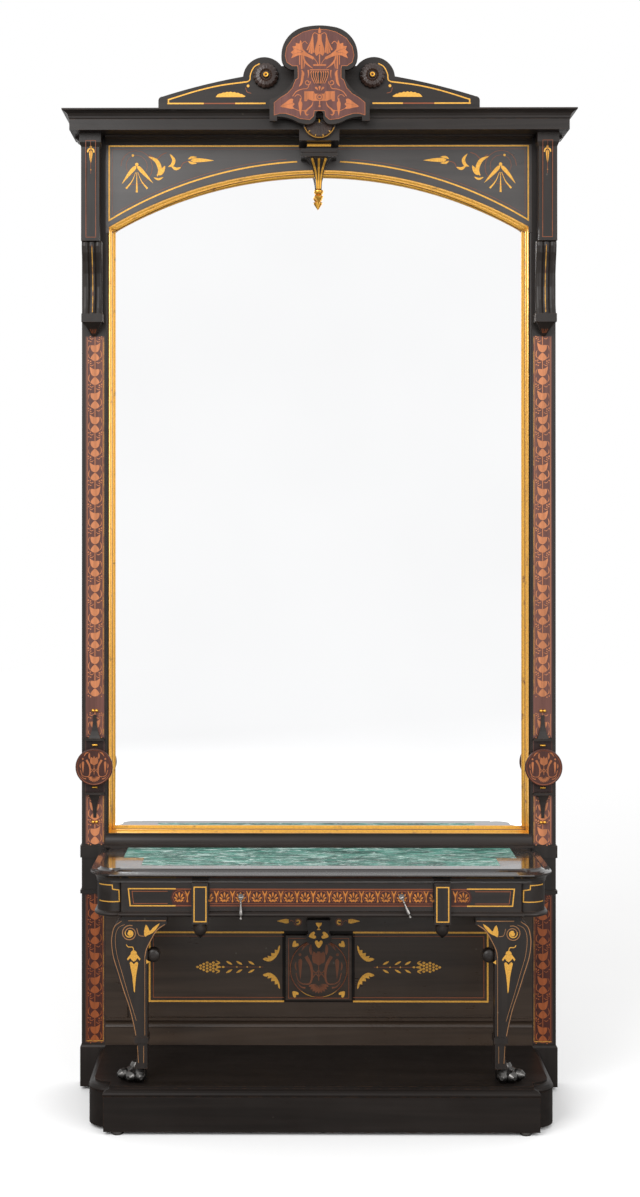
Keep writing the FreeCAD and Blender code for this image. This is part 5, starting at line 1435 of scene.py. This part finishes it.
class MirrorFinishes(bpy.types.PropertyGroup):
    ebony: colour("Ebony", (0.0125, 0.0097, 0.0084), "Stained wood between its edges")
    # Browner wood of the back panel, lighter than the ebony as painted light where the table shades it.
    panel: colour("Panel", (0.034, 0.0225, 0.0155), "Browner wood of the back panel")
    carved: colour("Carved wood", (0.023, 0.0125, 0.0095), "Brown wood of the rosettes and the shell")
    rubbed_wood: colour("Rubbed wood", (0.10, 0.045, 0.022), "Brown wood where the stain is rubbed off")
    speck: colour("Speck", (0.12, 0.10, 0.08), "Small pale knocks in the polish")
    gold: colour("Gold", (0.90, 0.47, 0.075), "Gold leaf")
    bole: colour("Bole", (0.16, 0.055, 0.02), "Red ground under the gold leaf")
    red_line: colour("Red line", (0.36, 0.10, 0.035), "Thin lines beside the gilt ones")
    stringing: colour("Stringing", (0.42, 0.20, 0.08), "Tan lines along the legs")
    veneer: colour("Veneer ground", (0.185, 0.076, 0.060), "Red-brown veneer of the long strips")
    low_veneer: colour("Low ground", (0.085, 0.022, 0.015), "Darker veneer beside the console")
    band: colour("Band ground", (0.068, 0.018, 0.012), "Dark veneer behind the palmettes")
    plain: colour("Plain ground", (0.030, 0.013, 0.011), "Plain dark veneer behind the round plates")
    crest: colour("Crest ground", (0.16, 0.060, 0.050), "Paler veneer of the crest")
    figure: colour("Veneer figure", (0.60, 0.190, 0.065), "Light veneer of the marquetry flowers")
    strip_figure: colour("Strip figure", (0.66, 0.245, 0.105), "Paler flowers of the long strips")
    low_figure: colour("Low figure", (0.40, 0.105, 0.030), "Redder flowers beside the console")
    palmette: colour("Palmette veneer", (0.62, 0.215, 0.035), "Golden veneer of the palmettes")
    roundel: colour("Roundel ground", (0.085, 0.028, 0.020), "Ground of the round plates")
    roundel_figure: colour("Roundel figure", (0.50, 0.165, 0.060), "Flowers of the round plates")
    plaque_figure: colour("Plaque figure", (0.23, 0.078, 0.034), "Darker flowers of the middle plaque")
    glass: colour("Glass", (0.955, 0.958, 0.965), "Tint of the silvered plate")
    marble: colour("Marble", (0.048, 0.185, 0.145), "Green of the marble slab")
    marble_vein: colour("Marble vein", (0.70, 0.82, 0.78), "White of the marble's streaks")
    steel: colour("Steel", (0.42, 0.40, 0.38), "Drop pulls")
    paw_metal: colour("Paw metal", (0.13, 0.125, 0.12), "Dark silvered paw feet")
    bare_wood: colour("Bare wood", (0.20, 0.10, 0.045), "Unpolished boards of the back and the drawer")


class MirrorStage(bpy.types.PropertyGroup):
    floor_size: amount("Floor", 14.0, "Half the width of the floor", "LENGTH", 2.0)
    surround: amount("Surround", 1.0, "Brightness of the white surround")
    key_power: amount("Key light", 190.0, "Power of the large light in front", "POWER")
    low_power: amount("Low light", 4.5, "Power of the light under the table", "POWER")


class MIRROR_OT_finishes(bpy.types.Operator):
    """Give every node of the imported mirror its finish"""
    bl_idname = "mirror.finishes"
    bl_label = "Finish the woodwork"

    def execute(self, context):
        finish_nodes()
        return {"FINISHED"}


class MIRROR_OT_head(bpy.types.Operator):
    """Lay the gilt lines and flowers into the arched head, its piers and the slip"""
    bl_idname = "mirror.head"
    bl_label = "Inlay the head"

    def execute(self, context):
        inlay_head()
        inlay_piers()
        line_brackets()
        line_slip()
        return {"FINISHED"}


class MIRROR_OT_crest(bpy.types.Operator):
    """Lay the marquetry urn into the crest"""
    bl_idname = "mirror.crest"
    bl_label = "Inlay the crest"

    def execute(self, context):
        inlay_crest()
        return {"FINISHED"}


class MIRROR_OT_pediments(bpy.types.Operator):
    """Gild the pediment, its rosettes, the keystone and the shell"""
    bl_idname = "mirror.pediments"
    bl_label = "Gild the pediment"

    def execute(self, context):
        inlay_pediments()
        rosette_buttons()
        inlay_keystone()
        shell_drop()
        return {"FINISHED"}


class MIRROR_OT_strips(bpy.types.Operator):
    """Lay the marquetry into the pilasters and the roundels"""
    bl_idname = "mirror.strips"
    bl_label = "Inlay the pilasters"

    def execute(self, context):
        inlay_strips()
        inlay_roundels()
        return {"FINISHED"}


class MIRROR_OT_apron(bpy.types.Operator):
    """Lay the palmettes and gilt frames into the drawer and the apron"""
    bl_idname = "mirror.apron"
    bl_label = "Inlay the apron"

    def execute(self, context):
        inlay_drawer()
        inlay_apron_ends()
        return {"FINISHED"}


class MIRROR_OT_legs(bpy.types.Operator):
    """Lay the stringing and hanging flowers into the legs"""
    bl_idname = "mirror.legs"
    bl_label = "Inlay the legs"

    def execute(self, context):
        inlay_legs()
        return {"FINISHED"}


class MIRROR_OT_panel(bpy.types.Operator):
    """Lay the gilding into the back panel, the plaque and the trefoil"""
    bl_idname = "mirror.panel"
    bl_label = "Inlay the back panel"

    def execute(self, context):
        inlay_panel()
        inlay_plaque()
        inlay_trefoil()
        return {"FINISHED"}


class MIRROR_OT_stage(bpy.types.Operator):
    """Set up the floor, the lights and the camera"""
    bl_idname = "mirror.stage"
    bl_label = "Set the stage"

    def execute(self, context):
        stage = context.scene.mirror_stage
        context.scene.view_settings.view_transform = "Standard"
        white_surround(stage.surround)
        floor_sheet(stage.floor_size)
        soft_light("key", stage.key_power)
        soft_light("fill", stage.key_power * FILL_SHARE)
        soft_light("low", stage.low_power)
        studio_camera()
        return {"FINISHED"}


OPERATORS = (
    MIRROR_OT_finishes, MIRROR_OT_head, MIRROR_OT_crest, MIRROR_OT_pediments, MIRROR_OT_strips,
    MIRROR_OT_apron, MIRROR_OT_legs, MIRROR_OT_panel, MIRROR_OT_stage,
)


class MIRROR_PT_panel(bpy.types.Panel):
    """Steps and finishes of the pier mirror"""
    bl_idname = "MIRROR_PT_panel"
    bl_label = "Pier Mirror"
    bl_space_type = "VIEW_3D"
    bl_region_type = "UI"
    bl_category = "Pier Mirror"

    def draw(self, context):
        column = self.layout.column()
        for operator in OPERATORS:
            column.operator(operator.bl_idname)
        for settings in (context.scene.mirror_finishes, context.scene.mirror_stage):
            for name in settings.bl_rna.properties.keys():
                if name not in ("rna_type", "name"):
                    column.prop(settings, name)


CLASSES = (MirrorFinishes, MirrorStage, *OPERATORS, MIRROR_PT_panel)


def register():
    for item in CLASSES:
        bpy.utils.register_class(item)
    bpy.types.Scene.mirror_finishes = bpy.props.PointerProperty(type=MirrorFinishes)
    bpy.types.Scene.mirror_stage = bpy.props.PointerProperty(type=MirrorStage)


def unregister():
    del bpy.types.Scene.mirror_stage
    del bpy.types.Scene.mirror_finishes
    for item in reversed(CLASSES):
        bpy.utils.unregister_class(item)


def main():
    register()
    for operator in OPERATORS:
        group, name = operator.bl_idname.split(".")
        getattr(getattr(bpy.ops, group), name)()


if __name__ == "__main__":
    main()
